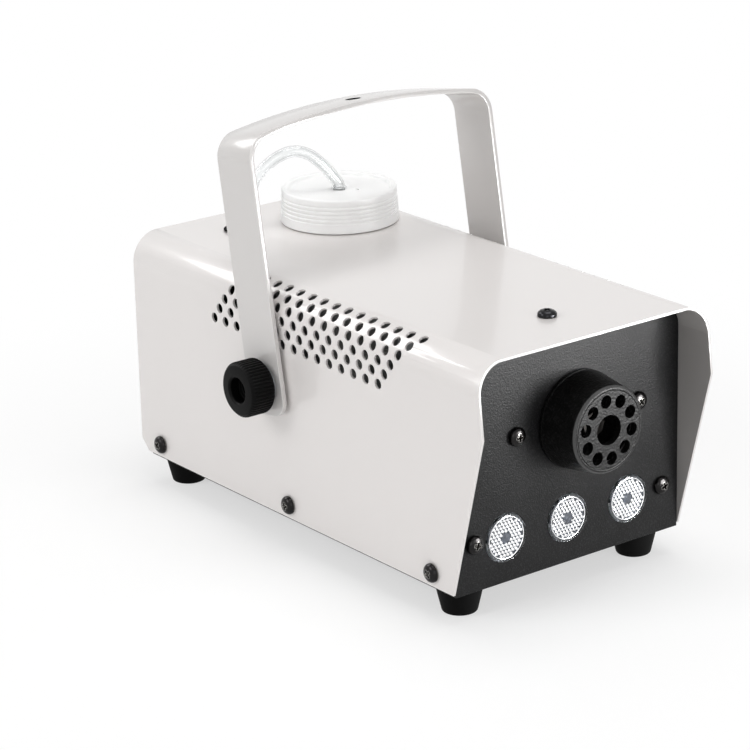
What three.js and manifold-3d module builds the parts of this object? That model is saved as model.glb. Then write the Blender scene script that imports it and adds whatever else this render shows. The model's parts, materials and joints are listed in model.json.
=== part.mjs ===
// Fog machine: a white steel cover over a black steel chassis on four rubber feet, with a tilting
// strap handle, a fluid tank with a screw cap and a clear feed hose, a pump, a heater and a nozzle.
// Millimetres, +Z up. The nozzle faces -Y. The origin is on the floor, under the middle of the case.
import * as THREE from "three";
import { mergeVertices } from "three/addons/utils/BufferGeometryUtils.js";
import Module from "manifold-3d";

const wasm = await Module();
wasm.setup();

// Case
const caseLength = 240;
const caseWidth = 120;
const caseHeight = 113;
const coverSheet = 1;
const chassisSheet = 1;
const coverBendRadius = 13;
const coverRearChamfer = 5;
const visorTopSetback = 3.2;
const visorKinkHeight = 83.5;
const panelSetback = 19;
const rearPanelInset = 6;
const frontFlangeDepth = 22;
const rearFlangeDepth = 12;
const lipHeight = 14;
const lipEndGap = 5;
const boardPostRadius = 3;
const boardPostHeight = 4.4;

// Clearances
const fit = 0.3; // between pieces that touch
const runningFit = 0.5; // round pieces that move
const overrun = 3; // how far a cutter passes the face that it cuts

// Roundness
const fineSides = 32;
const roundSides = 24;
const middleSides = 14;
const smallSides = 8;
const pinSides = 6;
const bendSteps = 6;
const cornerSteps = 2;
const softCornerSteps = 4;

// Feet
const footHeight = 12;
const footTopRadius = 10;
const footBottomRadius = 7.2;
const footEdge = 0.8;
const footStemRadius = 3;
const footBarbRadius = 4.5;
const footBarbHeight = 3;
const footSideInset = 13.5;
const footFrontInset = 32;
const footRearInset = 16;

// Screws
const screwRadius = 2;
const screwHeadRadius = 4;
const screwHeadHeight = 2.6;
const screwHeadEdge = 1.2;
const screwLength = 8;
const screwSlotLength = 4.6;
const screwSlotWidth = 1;
const screwSlotDepth = 1.2;
const sideScrewHeight = 19.6;
const sideScrewRearInset = 16;
const sideScrewFrontInset = 32;

// Vents in the cover
const ventRadius = 2.2;
const ventSides = 6;
const ventRows = 6;
const ventColumns = 15;
const ventPitch = 8.1;
const ventRowSpacing = 5;
const ventLowestHeight = 89.8;
const ventRearShare = 0.485; // of half the case's length

// Nozzle
const nozzleX = 4.5;
const nozzleHeight = 72.6;
const nozzleLength = 18.8;
const nozzleBaseRadius = 20.9;
const nozzleLipLength = 1.6;
const nozzleShoulderRadius = 20.4;
const nozzleFrontRadius = 18.2;
const nozzleFrontChamfer = 1;
const nozzleWall = 2;
const nozzleSpigotRadius = 15;
const nozzleSpigotLength = 3.6;
const nozzleDiscThickness = 3;
const nozzleBoreRadius = 6.3;
const nozzleHoleRadius = 2.75;
const nozzleHoleCircleRadius = 12.2;
const nozzleHoleCount = 10;
const nozzleTurn = (25 * Math.PI) / 180; // how far the disc is turned

// Heater
const heaterWidth = 40;
const heaterDepth = 34;
const heaterSetback = 13; // from the front panel
const heaterLength = 78;
const heaterEdge = 5;
const heaterBossRadius = 6;
const heaterBossLength = 6;
const heaterInletRadius = 4;
const jacketThickness = 4;
const jacketSetback = 10; // from the heater's front
const jacketRearSetback = 26; // from the heater's rear
const bracketSheet = 1.5;
const panelScrewReach = 32;
const frontBracketMargin = 7; // past the screws' middles
const frontBracketHeight = 44;
const frontBracketGrip = 8; // along the heater
const rearBracketFootLength = 14;
const rearBracketSaddleLength = 8;
const thermostatRadius = 8;
const thermostatHeight = 7;
const thermostatInset = 16; // from the heater's rear
const thermalFuseRadius = 2.2;
const thermalFuseLength = 13;
const outletPipeRadius = 4;
const outletBoreRadius = 1.5;
const outletJetRadius = 5.5;
const outletJetLength = 6;
const outletJetReach = 10; // in front of the panel

// Lights
const lensRadius = 10;
const lensFlangeRadius = 11.2;
const lensFlangeThickness = 1.6;
const lensProud = 1;
const lensRimWidth = 1.1;
const lensBackRadius = 5;
const lensSpacingShare = 0.53667; // of half the case's width
const lensMiddleX = -1;
const lensHeight = 31.4;
const ledBoardSideGap = 5;
const ledBoardHeight = 16;
const ledBoardThickness = 1.6;
const ledBoardSetback = 12.6; // from the front panel
const ledDieSize = 6;
const ledDieHeight = 0.8;
const ledPostRadius = 3.6;
const ledScrewSpacing = 17.3; // from the outer lenses' middles
const ledScrewRise = 1.4;

// Handle
const pivotShare = 0.15083; // of half the case's length, behind its middle
const pivotHeight = 71.5;
const handleLean = (9.7 * Math.PI) / 180;
const handleWidth = 24;
const handleThickness = 2;
const handleTop = 108.8;
const handleBend = 11;
const handleCrownRadius = 330;
const handleTail = 13.5;
const handleTailCorner = 7;
const hangingHoleRadius = 3.5;
const crownSteps = 7; // odd, so that the hanging hole lies in one flat

// Handle clamps
const studRadius = 3;
const studPastNut = 3.7;
const spacerThickness = 1.1;
const spacerRadius = 9;
const clampWasherThickness = 1.2;
const clampWasherRadius = 9;
const knobRadius = 11.8;
const knobLength = 12;
const knobFlutes = 50;
const knobFluteDepth = 0.4;
const knobEdge = 1.2;
const knobRecessRadius = 5.4;
const knobRecessDepth = 5;
const knobSocketRoof = 1.5;
const nutAcrossCorners = 11.5;
const nutSides = 6;
const nutThickness = 5;

// Tank, cap and hose
const tankSideGap = 10;
const tankRearGap = 5;
const tankWidthShare = 0.45; // of the case's width
const tankLength = 60;
const tankTop = 104;
const tankWall = 1.5;
const tankCorner = 9;
const padThickness = 3.4;
const padEdge = 4;
const neckRadius = 23.2;
const neckWall = 1.6;
const capRadius = 26.3;
const capTopRadius = 25.4;
const capHeight = 15;
const capWall = 1.9;
const capRoof = 2;
const capRecess = 1.5;
const capRimWidth = 2.6;
const capBandHeight = 3.4;
const capRibCount = 5;
const capRibDepth = 0.5;
const hoseRadius = 2.6;
const hoseSteps = 44;
const filterRadius = 6;
const filterLength = 18;
const filterSocket = 8;
const filterFloorGap = 1;
const pickupRise = 0.4;
const grommetAcross = 44; // from the tank's middle
const grommetAlong = 16;
const grommetFlangeRadius = 6;
const grommetNeckRadius = 4.2;
const grommetFlangeThickness = 1.6;
// The feed hose's route between the cap and the grommet: share of the way across, height over the cap.
const hoseAcrossShares = [0, 0.08, 0.18, 0.3, 0.435, 0.57, 0.68, 0.76, 0.845, 0.92, 0.98, 1];
const hoseRise = [1.6, 7.6, 12.9, 17.3, 19, 17.5, 14.4, 10.8, 5.2, -1.8, -6, -9.4];
// Its route inside the case: share of the way down to the pump, share of the way across to it.
const hoseDropShares = [0, 0.12, 0.32, 0.54, 0.76, 0.94, 1];
const hoseSwingShares = [0, 0.02, 0.2, 0.56, 0.88, 1, 1];

// Pump
const pumpSideGap = 9;
const pumpRearGap = 31;
const pumpFrameWidth = 32;
const pumpFrameBottom = 30;
const pumpFrameHeight = 24;
const pumpCoreRadius = 7;
const pumpBaseRadius = 9;
const pumpInletHeight = 66;
const pumpBarbRadius = 2;
const pumpBarbLength = 6;
const pumpOutletHeight = 20;
const pumpOutletLength = 6;
const pumpBoreRadius = 4;
const plungerRadius = 3.4;
const plungerLength = 20;
const plungerStroke = 3;
const plungerBottom = 27;
// The pressure tube's route from the pump to the heater: shares of the way across, along and up.
const tubeAcrossShares = [0, 0, 0, 0.12, 0.5, 0.88, 1, 1];
const tubeAlongShares = [0, 0.12, 0.36, 0.6, 0.6, 0.74, 0.9, 1];
const tubeRiseShares = [0, 0, 0.12, 0.45, 0.9, 1, 1, 1];

// Control board
const boardWidthShare = 0.7; // of the case's width
const boardLength = 52;
const boardThickness = 1.6;
const boardInset = 36; // from the heater's rear to its middle
const boardHoleInset = 5;
const relayWidth = 16;
const relayLength = 20;
const relayHeight = 15;
const transformerWidth = 24;
const transformerLength = 28;
const transformerHeight = 22;
const terminalWidth = 22;
const terminalLength = 8;
const terminalHeight = 10;

// Rear panel
const inletShare = 0.51667; // of half the case's width, left of the middle
const inletHeight = 34;
const inletBodyWidth = 27;
const inletBodyHeight = 19.8;
const inletBodyDepth = 18;
const inletFlangeWidth = 31;
const inletFlangeHeight = 24;
const flangeThickness = 2.2;
const inletCavityWidth = 22;
const inletCavityHeight = 15;
const inletCavityDepth = 15;
const inletCorner = 5;
const pinWidth = 2;
const pinHeight = 4;
const pinLength = 12;
const pinSpacing = 7;
const pinRise = 2;
const switchShare = 0.66667;
const switchHeight = 62;
const switchBodyWidth = 19;
const switchBodyHeight = 12.6;
const switchBodyDepth = 14;
const switchFlangeWidth = 21;
const switchFlangeHeight = 15;
const rockerWidth = 14;
const rockerHeight = 10;
const rockerDepth = 5;
const rockerProud = 1.6;
const rockerTilt = (8 * Math.PI) / 180;
const fuseShare = 0.26667;
const fuseHeight = 62;
const fuseBodyRadius = 6;
const fuseFlangeRadius = 7.5;
const fuseBodyDepth = 24;
const fuseCapRadius = 5;
const fuseCapLength = 5;
const fuseCapSlot = 1.2;
const remoteShare = 0.5;
const remoteHeight = 86;
const remoteBodyRadius = 6;
const remoteFlangeRadius = 8;
const remoteBodyDepth = 12;
const remoteCavityRadius = 4.6;
const remoteCavityDepth = 9;
const remotePinRadius = 0.8;
const remotePinLength = 6;
const remotePinCount = 3;

// Leads
const leadSideShare = 0.689655; // of the way from the pump's middle to the tank
const leadRadius = 2;
const leadSides = 6;
const leadSteps = 26;

// Places that follow from these
const halfLength = caseLength / 2;
const halfWidth = caseWidth / 2;
const floorBottom = footHeight + fit;
const floorTop = floorBottom + chassisSheet;
const coverBottom = floorTop + fit;
const coverInnerSide = halfWidth - coverSheet;
const coverInnerTop = caseHeight - coverSheet;
const bendStart = caseHeight - coverBendRadius;
const chassisSide = coverInnerSide - fit;
const chassisTop = coverInnerTop - fit;
const panelFace = -halfLength + panelSetback;
const panelBack = panelFace + chassisSheet;
const rearFace = halfLength - rearPanelInset;
const rearInside = rearFace - chassisSheet;
const flangeInner = rearFace + fit;
const flangeOuter = flangeInner + flangeThickness;
const frontScrewY = -halfLength + sideScrewFrontInset;
const rearScrewY = halfLength - sideScrewRearInset;
const sideScrewY = [rearScrewY, (rearScrewY + frontScrewY) / 2, frontScrewY];
const topScrewY = frontScrewY;
const ventRearY = halfLength * ventRearShare;
const bendEnd = bendStart + (coverBendRadius * Math.PI) / 2; // unrolled
const heaterFrontY = panelFace + heaterSetback;
const heaterRearY = heaterFrontY + heaterLength;
const jacketFrontY = heaterFrontY + jacketSetback;
const jacketRearY = heaterRearY - jacketRearSetback;
const frontBracketWidth = 2 * (panelScrewReach + frontBracketMargin);
const frontBracketArmEndY = heaterFrontY + frontBracketGrip;
const thermostatY = heaterRearY - thermostatInset;
const outletJetY = panelFace - outletJetReach;
const lensSpacing = halfWidth * lensSpacingShare;
const ledBoardWidth = caseWidth - 2 * ledBoardSideGap;
const ledBoardY = panelFace + ledBoardSetback;
const ledScrewReach = lensSpacing + ledScrewSpacing;
const pivotY = halfLength * pivotShare;
const tankWidth = caseWidth * tankWidthShare;
const tankX = coverInnerSide - tankSideGap - tankWidth / 2;
const tankY = rearInside - tankRearGap - tankLength / 2;
const grommetX = tankX - grommetAcross;
const grommetY = tankY + grommetAlong;
const pumpX = -coverInnerSide + pumpSideGap + pumpFrameWidth / 2;
const pumpY = rearInside - pumpRearGap - pumpFrameWidth / 2;
const boardWidth = caseWidth * boardWidthShare;
const boardY = heaterRearY - boardInset;
const inletX = -halfWidth * inletShare;
const switchX = -halfWidth * switchShare;
const fuseX = -halfWidth * fuseShare;
const remoteX = -halfWidth * remoteShare;
const screwHole = screwRadius + fit;
const studHole = studRadius + fit;
const padBottom = floorTop + fit;
const tankBottom = padBottom + padThickness + fit;
const capBottom = caseHeight + fit;
const capTop = capBottom + capHeight;
const capDisc = capTop - capRecess;
const capInnerRadius = capRadius - capWall;
const neckTop = capDisc - capRoof - fit;
const hoseStart = capDisc + pickupRise + fit;
const nozzleFace = panelFace - nozzleLength;
const nutOuter = coverInnerSide - fit;
const studInnerEnd = nutOuter - nutThickness - studPastNut;
const handleInner = halfWidth + fit + spacerThickness + fit;
const handleOuter = handleInner + handleThickness;
const washerInner = handleOuter + fit;
const washerOuter = washerInner + clampWasherThickness;
const knobInner = washerOuter + fit;
const knobOuter = knobInner + knobLength;
const heaterBottom = nozzleHeight - heaterDepth / 2;
const heaterTop = nozzleHeight + heaterDepth / 2;
const boardBottom = floorTop + boardPostHeight + fit;
const lensX = [-1, 0, 1].map((place) => lensMiddleX + place * lensSpacing);
const terminalX = -boardWidth / 2 + terminalWidth / 2 + relayWidth / 8;

function asSolid(geometry) {
  const bare = geometry.index ? geometry.toNonIndexed() : geometry.clone();
  for (const attribute of Object.keys(bare.attributes)) {
    if (attribute !== "position") bare.deleteAttribute(attribute);
  }
  const merged = mergeVertices(bare);
  return new wasm.Manifold(
    new wasm.Mesh({
      numProp: 3,
      vertProperties: merged.attributes.position.array,
      triVerts: new Uint32Array(merged.index.array),
    }),
  );
}

function asGeometry(solid) {
  const mesh = solid.getMesh();
  const points = new Float32Array(mesh.numVert * 3);
  for (let i = 0; i < mesh.numVert; i++) {
    const at = i * mesh.numProp;
    points.set(mesh.vertProperties.subarray(at, at + 3), i * 3);
  }
  const geometry = new THREE.BufferGeometry();
  geometry.setAttribute("position", new THREE.BufferAttribute(points, 3));
  geometry.setIndex(new THREE.BufferAttribute(mesh.triVerts, 1));
  const faceted = geometry.toNonIndexed();
  faceted.computeVertexNormals();
  return faceted;
}

// A box between two values on each axis.
function block(x, y, z) {
  const geometry = new THREE.BoxGeometry(x[1] - x[0], y[1] - y[0], z[1] - z[0]);
  geometry.translate((x[0] + x[1]) / 2, (y[0] + y[1]) / 2, (z[0] + z[1]) / 2);
  return asSolid(geometry);
}

// Turns a shape made about +Y to another axis, and moves it to a place.
function lay(geometry, axis, at) {
  if (axis === "x") geometry.rotateZ(-Math.PI / 2);
  if (axis === "z") geometry.rotateX(Math.PI / 2);
  geometry.translate(...at);
  return geometry;
}

// A profile of [radius, distance along the axis] turned about an axis through a point.
function turned(axis, at, profile, sides = roundSides) {
  const points = profile.map(([radius, along]) => new THREE.Vector2(radius, along));
  const last = profile.length - 1;
  if (profile[0][0] > 0 && profile[last][0] > 0) points.push(points[0].clone());
  return asSolid(lay(new THREE.LatheGeometry(points, sides), axis, at));
}

// A round bar between two values on an axis.
function rod(axis, at, radius, from, to, sides = roundSides) {
  return turned(axis, at, [[0, from], [radius, from], [radius, to], [0, to]], sides);
}

// An outline drawn across an axis, from one value on it to another.
function prism(axis, outline, from, to) {
  const shape = new THREE.Shape(outline.map(([a, b]) => new THREE.Vector2(a, b)));
  const geometry = new THREE.ExtrudeGeometry(shape, { depth: to - from, bevelEnabled: false });
  if (axis === "x") {
    geometry.rotateX(Math.PI / 2);
    geometry.rotateZ(Math.PI / 2);
    geometry.translate(from, 0, 0);
  } else if (axis === "y") {
    geometry.rotateX(Math.PI / 2);
    geometry.translate(0, to, 0);
  } else {
    geometry.translate(0, 0, from);
  }
  return asSolid(geometry);
}

// A round bar along a smooth curve through a list of points.
function tube(points, radius, sides, steps) {
  const path = new THREE.CatmullRomCurve3(points.map((p) => new THREE.Vector3(...p)));
  const section = new THREE.Shape(ring(0, 0, radius, sides).map(([a, b]) => new THREE.Vector2(a, b)));
  const settings = { steps, extrudePath: path, bevelEnabled: false };
  return asSolid(new THREE.ExtrudeGeometry(section, settings));
}

function arc(x, y, radius, from, to, steps) {
  const points = [];
  for (let i = 0; i <= steps; i++) {
    const angle = from + ((to - from) * i) / steps;
    points.push([x + radius * Math.cos(angle), y + radius * Math.sin(angle)]);
  }
  return points;
}

function ring(x, y, radius, sides) {
  return arc(x, y, radius, 0, 2 * Math.PI, sides).slice(0, sides);
}

function rounded(x, y, width, height, radius, steps) {
  const right = x + width / 2 - radius;
  const left = x - width / 2 + radius;
  const top = y + height / 2 - radius;
  const bottom = y - height / 2 + radius;
  const quarter = Math.PI / 2;
  return [
    ...arc(right, bottom, radius, -quarter, 0, steps),
    ...arc(right, top, radius, 0, quarter, steps),
    ...arc(left, top, radius, quarter, 2 * quarter, steps),
    ...arc(left, bottom, radius, 2 * quarter, 3 * quarter, steps),
  ];
}

// The case's front view: flat sides and top with a bend between them. Each row of vents on the bend
// has a facet of its own.
function caseOutline(side, top, radius, bottom) {
  const quarter = Math.PI / 2;
  const angles = [0];
  for (let row = 0; row <= ventRows; row++) {
    const edge = ventLowestHeight + (row - 0.5) * ventRowSpacing - bendStart;
    if (edge > 0 && bendStart + edge < bendEnd) angles.push(edge / coverBendRadius);
  }
  angles.push(quarter);
  const bend = angles.map((angle) => [radius * Math.cos(angle), radius * Math.sin(angle)]);
  const x = side - radius;
  const z = top - radius;
  return [
    [-side, bottom],
    [side, bottom],
    ...bend.map(([across, up]) => [x + across, z + up]),
    ...bend.reverse().map(([across, up]) => [-x - across, z + up]),
  ];
}

function finish(colour, roughness, metalness = 0, opacity = 1) {
  const settings = { color: colour, roughness, metalness, opacity, transparent: opacity < 1 };
  return new THREE.MeshStandardMaterial(settings);
}

const whiteEnamel = finish(0xe4e1e0, 0.32);
const blackPowderCoat = finish(0x17181a, 0.7);
const blackPlastic = finish(0x1a1b1d, 0.5);
const blackRubber = finish(0x141414, 0.85);
const darkNickel = finish(0x4b4845, 0.3, 1);
const zincSteel = finish(0xa9acb0, 0.35, 1);
const castAluminium = finish(0xb4b6b8, 0.5, 1);
const brass = finish(0xb99a52, 0.35, 1);
const glassFibre = finish(0xd9d4c4, 0.95);
const milkyPlastic = finish(0xeeeeec, 0.4, 0, 0.85);
const clearSilicone = finish(0xf2f4f4, 0.15, 0, 0.45);
const clearAcrylic = finish(0xe8edf2, 0.08, 0, 0.5);
const whiteNylon = finish(0xe6e6e2, 0.5);
const greenBoard = finish(0x1f5a3a, 0.5);
const redPlastic = finish(0xb3231c, 0.4);
const greyLead = finish(0x55575a, 0.6);

const machine = new THREE.Group();

function add(name, solid, material, group = machine) {
  const mesh = new THREE.Mesh(asGeometry(solid), material);
  mesh.name = name;
  group.add(mesh);
  return mesh;
}

function joined(first, ...others) {
  return others.reduce((whole, piece) => whole.add(piece), first);
}

function cutFrom(first, ...cutters) {
  return cutters.reduce((whole, piece) => whole.subtract(piece), first);
}

// Cover
function ventCutters() {
  const cutters = [];
  for (const side of [-1, 1]) {
    for (let row = 0; row < ventRows; row++) {
      const unrolled = ventLowestHeight + row * ventRowSpacing;
      const bent = Math.min(Math.max(0, unrolled - bendStart), bendEnd - bendStart);
      const past = Math.max(0, unrolled - bendEnd);
      const angle = bent / coverBendRadius;
      const outward = new THREE.Vector3(side * Math.cos(angle), 0, Math.sin(angle));
      const turn = new THREE.Quaternion().setFromUnitVectors(new THREE.Vector3(0, 1, 0), outward);
      const bendX = side * (halfWidth - coverBendRadius);
      for (let column = 0; column < ventColumns; column++) {
        const y = ventRearY - (row * ventPitch) / 2 - column * ventPitch;
        const geometry = new THREE.CylinderGeometry(ventRadius, ventRadius, 2 * overrun, ventSides);
        geometry.applyQuaternion(turn);
        const x = bendX + outward.x * coverBendRadius - side * past;
        const z = bent > 0 ? bendStart + outward.z * coverBendRadius : unrolled;
        geometry.translate(x, y, z);
        cutters.push(asSolid(geometry));
      }
    }
  }
  return cutters;
}

function makeCover() {
  const outer = caseOutline(halfWidth, caseHeight, coverBendRadius, coverBottom);
  const innerBend = coverBendRadius - coverSheet;
  const inner = caseOutline(coverInnerSide, coverInnerTop, innerBend, coverBottom - overrun);
  const side = [
    [panelFace, coverBottom],
    [halfLength - coverRearChamfer, coverBottom],
    [halfLength, coverBottom + coverRearChamfer],
    [halfLength, caseHeight],
    [-halfLength + visorTopSetback, caseHeight],
    [-halfLength, visorKinkHeight],
  ];
  const bar = prism("y", outer, -halfLength, halfLength);
  const hollow = prism("y", inner, -halfLength - overrun, halfLength + overrun);
  const shell = bar.subtract(hollow).intersect(prism("x", side, -halfWidth - overrun, halfWidth + overrun));
  const above = [caseHeight - 2 * overrun, caseHeight + overrun];
  const holes = [
    rod("z", [tankX, tankY, 0], neckRadius + 2 * fit, ...above),
    rod("z", [grommetX, grommetY, 0], grommetNeckRadius + fit, ...above, middleSides),
    rod("z", [0, topScrewY, 0], screwHole, ...above, smallSides),
    rod("x", [0, pivotY, pivotHeight], studHole, -halfWidth - overrun, halfWidth + overrun, smallSides),
  ];
  for (const y of sideScrewY) {
    const span = [-halfWidth - overrun, halfWidth + overrun];
    holes.push(rod("x", [0, y, sideScrewHeight], screwHole, ...span, smallSides));
  }
  add("cover", cutFrom(shell, ...holes, ...ventCutters()), whiteEnamel);
}

// Chassis
function panelScrewPlaces() {
  return [
    [nozzleX - panelScrewReach, nozzleHeight],
    [nozzleX + panelScrewReach, nozzleHeight],
    [-ledScrewReach, lensHeight + ledScrewRise],
    [ledScrewReach, lensHeight + ledScrewRise],
  ];
}

function boardPostPlaces() {
  const x = boardWidth / 2 - boardHoleInset;
  const y = boardLength / 2 - boardHoleInset;
  return [[-x, boardY - y], [x, boardY - y], [-x, boardY + y], [x, boardY + y]];
}

function footPlaces() {
  const x = halfWidth - footSideInset;
  const front = -halfLength + footFrontInset;
  const rear = halfLength - footRearInset;
  return { front_left: [-x, front], front_right: [x, front], rear_left: [-x, rear], rear_right: [x, rear] };
}

function makeChassis() {
  const wide = [-chassisSide, chassisSide];
  const flange = [chassisTop - chassisSheet, chassisTop];
  const lip = [floorBottom, floorTop + lipHeight];
  const lipY = [panelBack + lipEndGap, rearInside - lipEndGap];
  const sheet = joined(
    block(wide, [panelFace, rearFace], [floorBottom, floorTop]),
    block(wide, [panelFace, panelBack], [floorBottom, chassisTop]),
    block(wide, [rearInside, rearFace], [floorBottom, chassisTop]),
    block(wide, [panelFace, panelFace + frontFlangeDepth], flange),
    block(wide, [rearFace - rearFlangeDepth, rearFace], flange),
    block([-chassisSide, -chassisSide + chassisSheet], lipY, lip),
    block([chassisSide - chassisSheet, chassisSide], lipY, lip),
  );
  const posts = boardPostPlaces().map(([x, y]) =>
    rod("z", [x, y, 0], boardPostRadius, floorBottom, floorTop + boardPostHeight, smallSides),
  );
  const bend = coverBendRadius - coverSheet - fit;
  const inside = prism("y", caseOutline(chassisSide, chassisTop, bend, floorBottom), panelFace, rearFace);
  const front = [panelFace - overrun, panelBack + overrun];
  const back = [rearInside - overrun, rearFace + overrun];
  const across = [-halfWidth, halfWidth];
  const slack = 2 * fit;
  const tall = inletBodyHeight + slack;
  const low = switchBodyHeight + slack;
  const inletShape = rounded(inletX, inletHeight, inletBodyWidth + slack, tall, inletCorner, cornerSteps);
  const cuts = [
    rod("y", [nozzleX, 0, nozzleHeight], nozzleSpigotRadius + fit, ...front),
    rod("z", [0, topScrewY, 0], screwHole, chassisTop - overrun, caseHeight, smallSides),
    prism("y", inletShape, ...back),
    prism("y", rounded(switchX, switchHeight, switchBodyWidth + slack, low, fit, 1), ...back),
    rod("y", [fuseX, 0, fuseHeight], fuseBodyRadius + fit, ...back, middleSides),
    rod("y", [remoteX, 0, remoteHeight], remoteBodyRadius + fit, ...back, middleSides),
  ];
  for (const x of lensX) cuts.push(rod("y", [x, 0, lensHeight], lensRadius + fit, ...front));
  for (const [x, z] of panelScrewPlaces()) cuts.push(rod("y", [x, 0, z], screwHole, ...front, smallSides));
  for (const y of sideScrewY) {
    cuts.push(rod("x", [0, y, sideScrewHeight], screwHole, ...across, smallSides));
  }
  const throughFloor = [floorBottom - overrun, floorTop + overrun];
  for (const [x, y] of Object.values(footPlaces())) {
    cuts.push(rod("z", [x, y, 0], footStemRadius + fit, ...throughFloor, smallSides));
  }
  add("chassis", cutFrom(joined(sheet, ...posts).intersect(inside), ...cuts), blackPowderCoat);
}

function makeFeet() {
  for (const [place, [x, y]] of Object.entries(footPlaces())) {
    const profile = [
      [0, 0],
      [footBottomRadius - footEdge, 0],
      [footBottomRadius, footEdge],
      [footTopRadius, footHeight],
      [footStemRadius, footHeight],
      [footStemRadius, floorTop + fit],
      [footBarbRadius, floorTop + fit],
      [footStemRadius, floorTop + fit + footBarbHeight],
      [0, floorTop + fit + footBarbHeight],
    ];
    add("foot_" + place, turned("z", [x, y, 0], profile, middleSides), blackRubber);
  }
}

// Screws
// A pan-head screw that points along an axis, with its head's underside at the origin.
function screwSolid(axis, at, direction, length) {
  const profile = [
    [0, -length],
    [screwRadius, -length],
    [screwRadius, 0],
    [screwHeadRadius, 0],
    [screwHeadRadius, screwHeadEdge],
    [screwHeadRadius - screwHeadEdge, screwHeadHeight],
    [0, screwHeadHeight],
  ];
  const half = screwSlotLength / 2;
  const thin = screwSlotWidth / 2;
  const slotBottom = screwHeadHeight - screwSlotDepth;
  const up = [slotBottom, screwHeadHeight + overrun];
  const crossed = cutFrom(
    turned("z", [0, 0, 0], profile, smallSides),
    block([-half, half], [-thin, thin], up),
    block([-thin, thin], [-half, half], up),
  );
  const geometry = asGeometry(crossed);
  if (axis === "x") geometry.rotateY((direction * Math.PI) / 2);
  if (axis === "y") geometry.rotateX((-direction * Math.PI) / 2);
  geometry.translate(...at);
  return asSolid(geometry);
}

function makeScrews() {
  for (const [side, word] of [[-1, "left"], [1, "right"]]) {
    sideScrewY.forEach((y, i) => {
      const at = [side * (halfWidth + fit), y, sideScrewHeight];
      add(`side_screw_${word}_${i + 1}`, screwSolid("x", at, side, screwLength), darkNickel);
    });
  }
  panelScrewPlaces().forEach(([x, z], i) => {
    const at = [x, panelFace - fit, z];
    add(`panel_screw_${i + 1}`, screwSolid("y", at, -1, screwLength), darkNickel);
  });
  add("top_screw", screwSolid("z", [0, topScrewY, caseHeight + fit], 1, screwLength), darkNickel);
}

// Nozzle
function makeNozzle() {
  const discSeat = nozzleFace + nozzleDiscThickness;
  const boreRadius = nozzleFrontRadius - nozzleWall;
  const backFace = panelFace - fit;
  const barrel = turned("y", [nozzleX, 0, nozzleHeight], [
    [boreRadius, nozzleFace],
    [nozzleFrontRadius - nozzleFrontChamfer, nozzleFace],
    [nozzleFrontRadius, nozzleFace + nozzleFrontChamfer],
    [nozzleShoulderRadius, backFace - nozzleLipLength],
    [nozzleBaseRadius, backFace - nozzleLipLength],
    [nozzleBaseRadius, backFace],
    [nozzleSpigotRadius, backFace],
    [nozzleSpigotRadius, backFace + nozzleSpigotLength],
    [nozzleSpigotRadius - nozzleWall, backFace + nozzleSpigotLength],
    [nozzleSpigotRadius - nozzleWall, backFace - nozzleLipLength],
    [boreRadius - nozzleWall, discSeat + fit + nozzleWall],
    [boreRadius - nozzleWall, discSeat + fit],
    [boreRadius, discSeat + fit],
  ], fineSides);
  const disc = rod("y", [nozzleX, 0, nozzleHeight], boreRadius - fit, nozzleFace, discSeat, fineSides);
  const through = [nozzleFace - overrun, discSeat + overrun];
  const holes = [rod("y", [nozzleX, 0, nozzleHeight], nozzleBoreRadius, ...through)];
  for (let i = 0; i < nozzleHoleCount; i++) {
    const angle = (i / nozzleHoleCount) * 2 * Math.PI + nozzleTurn;
    const x = nozzleX + nozzleHoleCircleRadius * Math.cos(angle);
    const z = nozzleHeight + nozzleHoleCircleRadius * Math.sin(angle);
    holes.push(rod("y", [x, 0, z], nozzleHoleRadius, ...through, smallSides));
  }
  add("nozzle_barrel", barrel, blackPlastic);
  add("nozzle_disc", cutFrom(disc, ...holes), blackPlastic);
}

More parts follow.
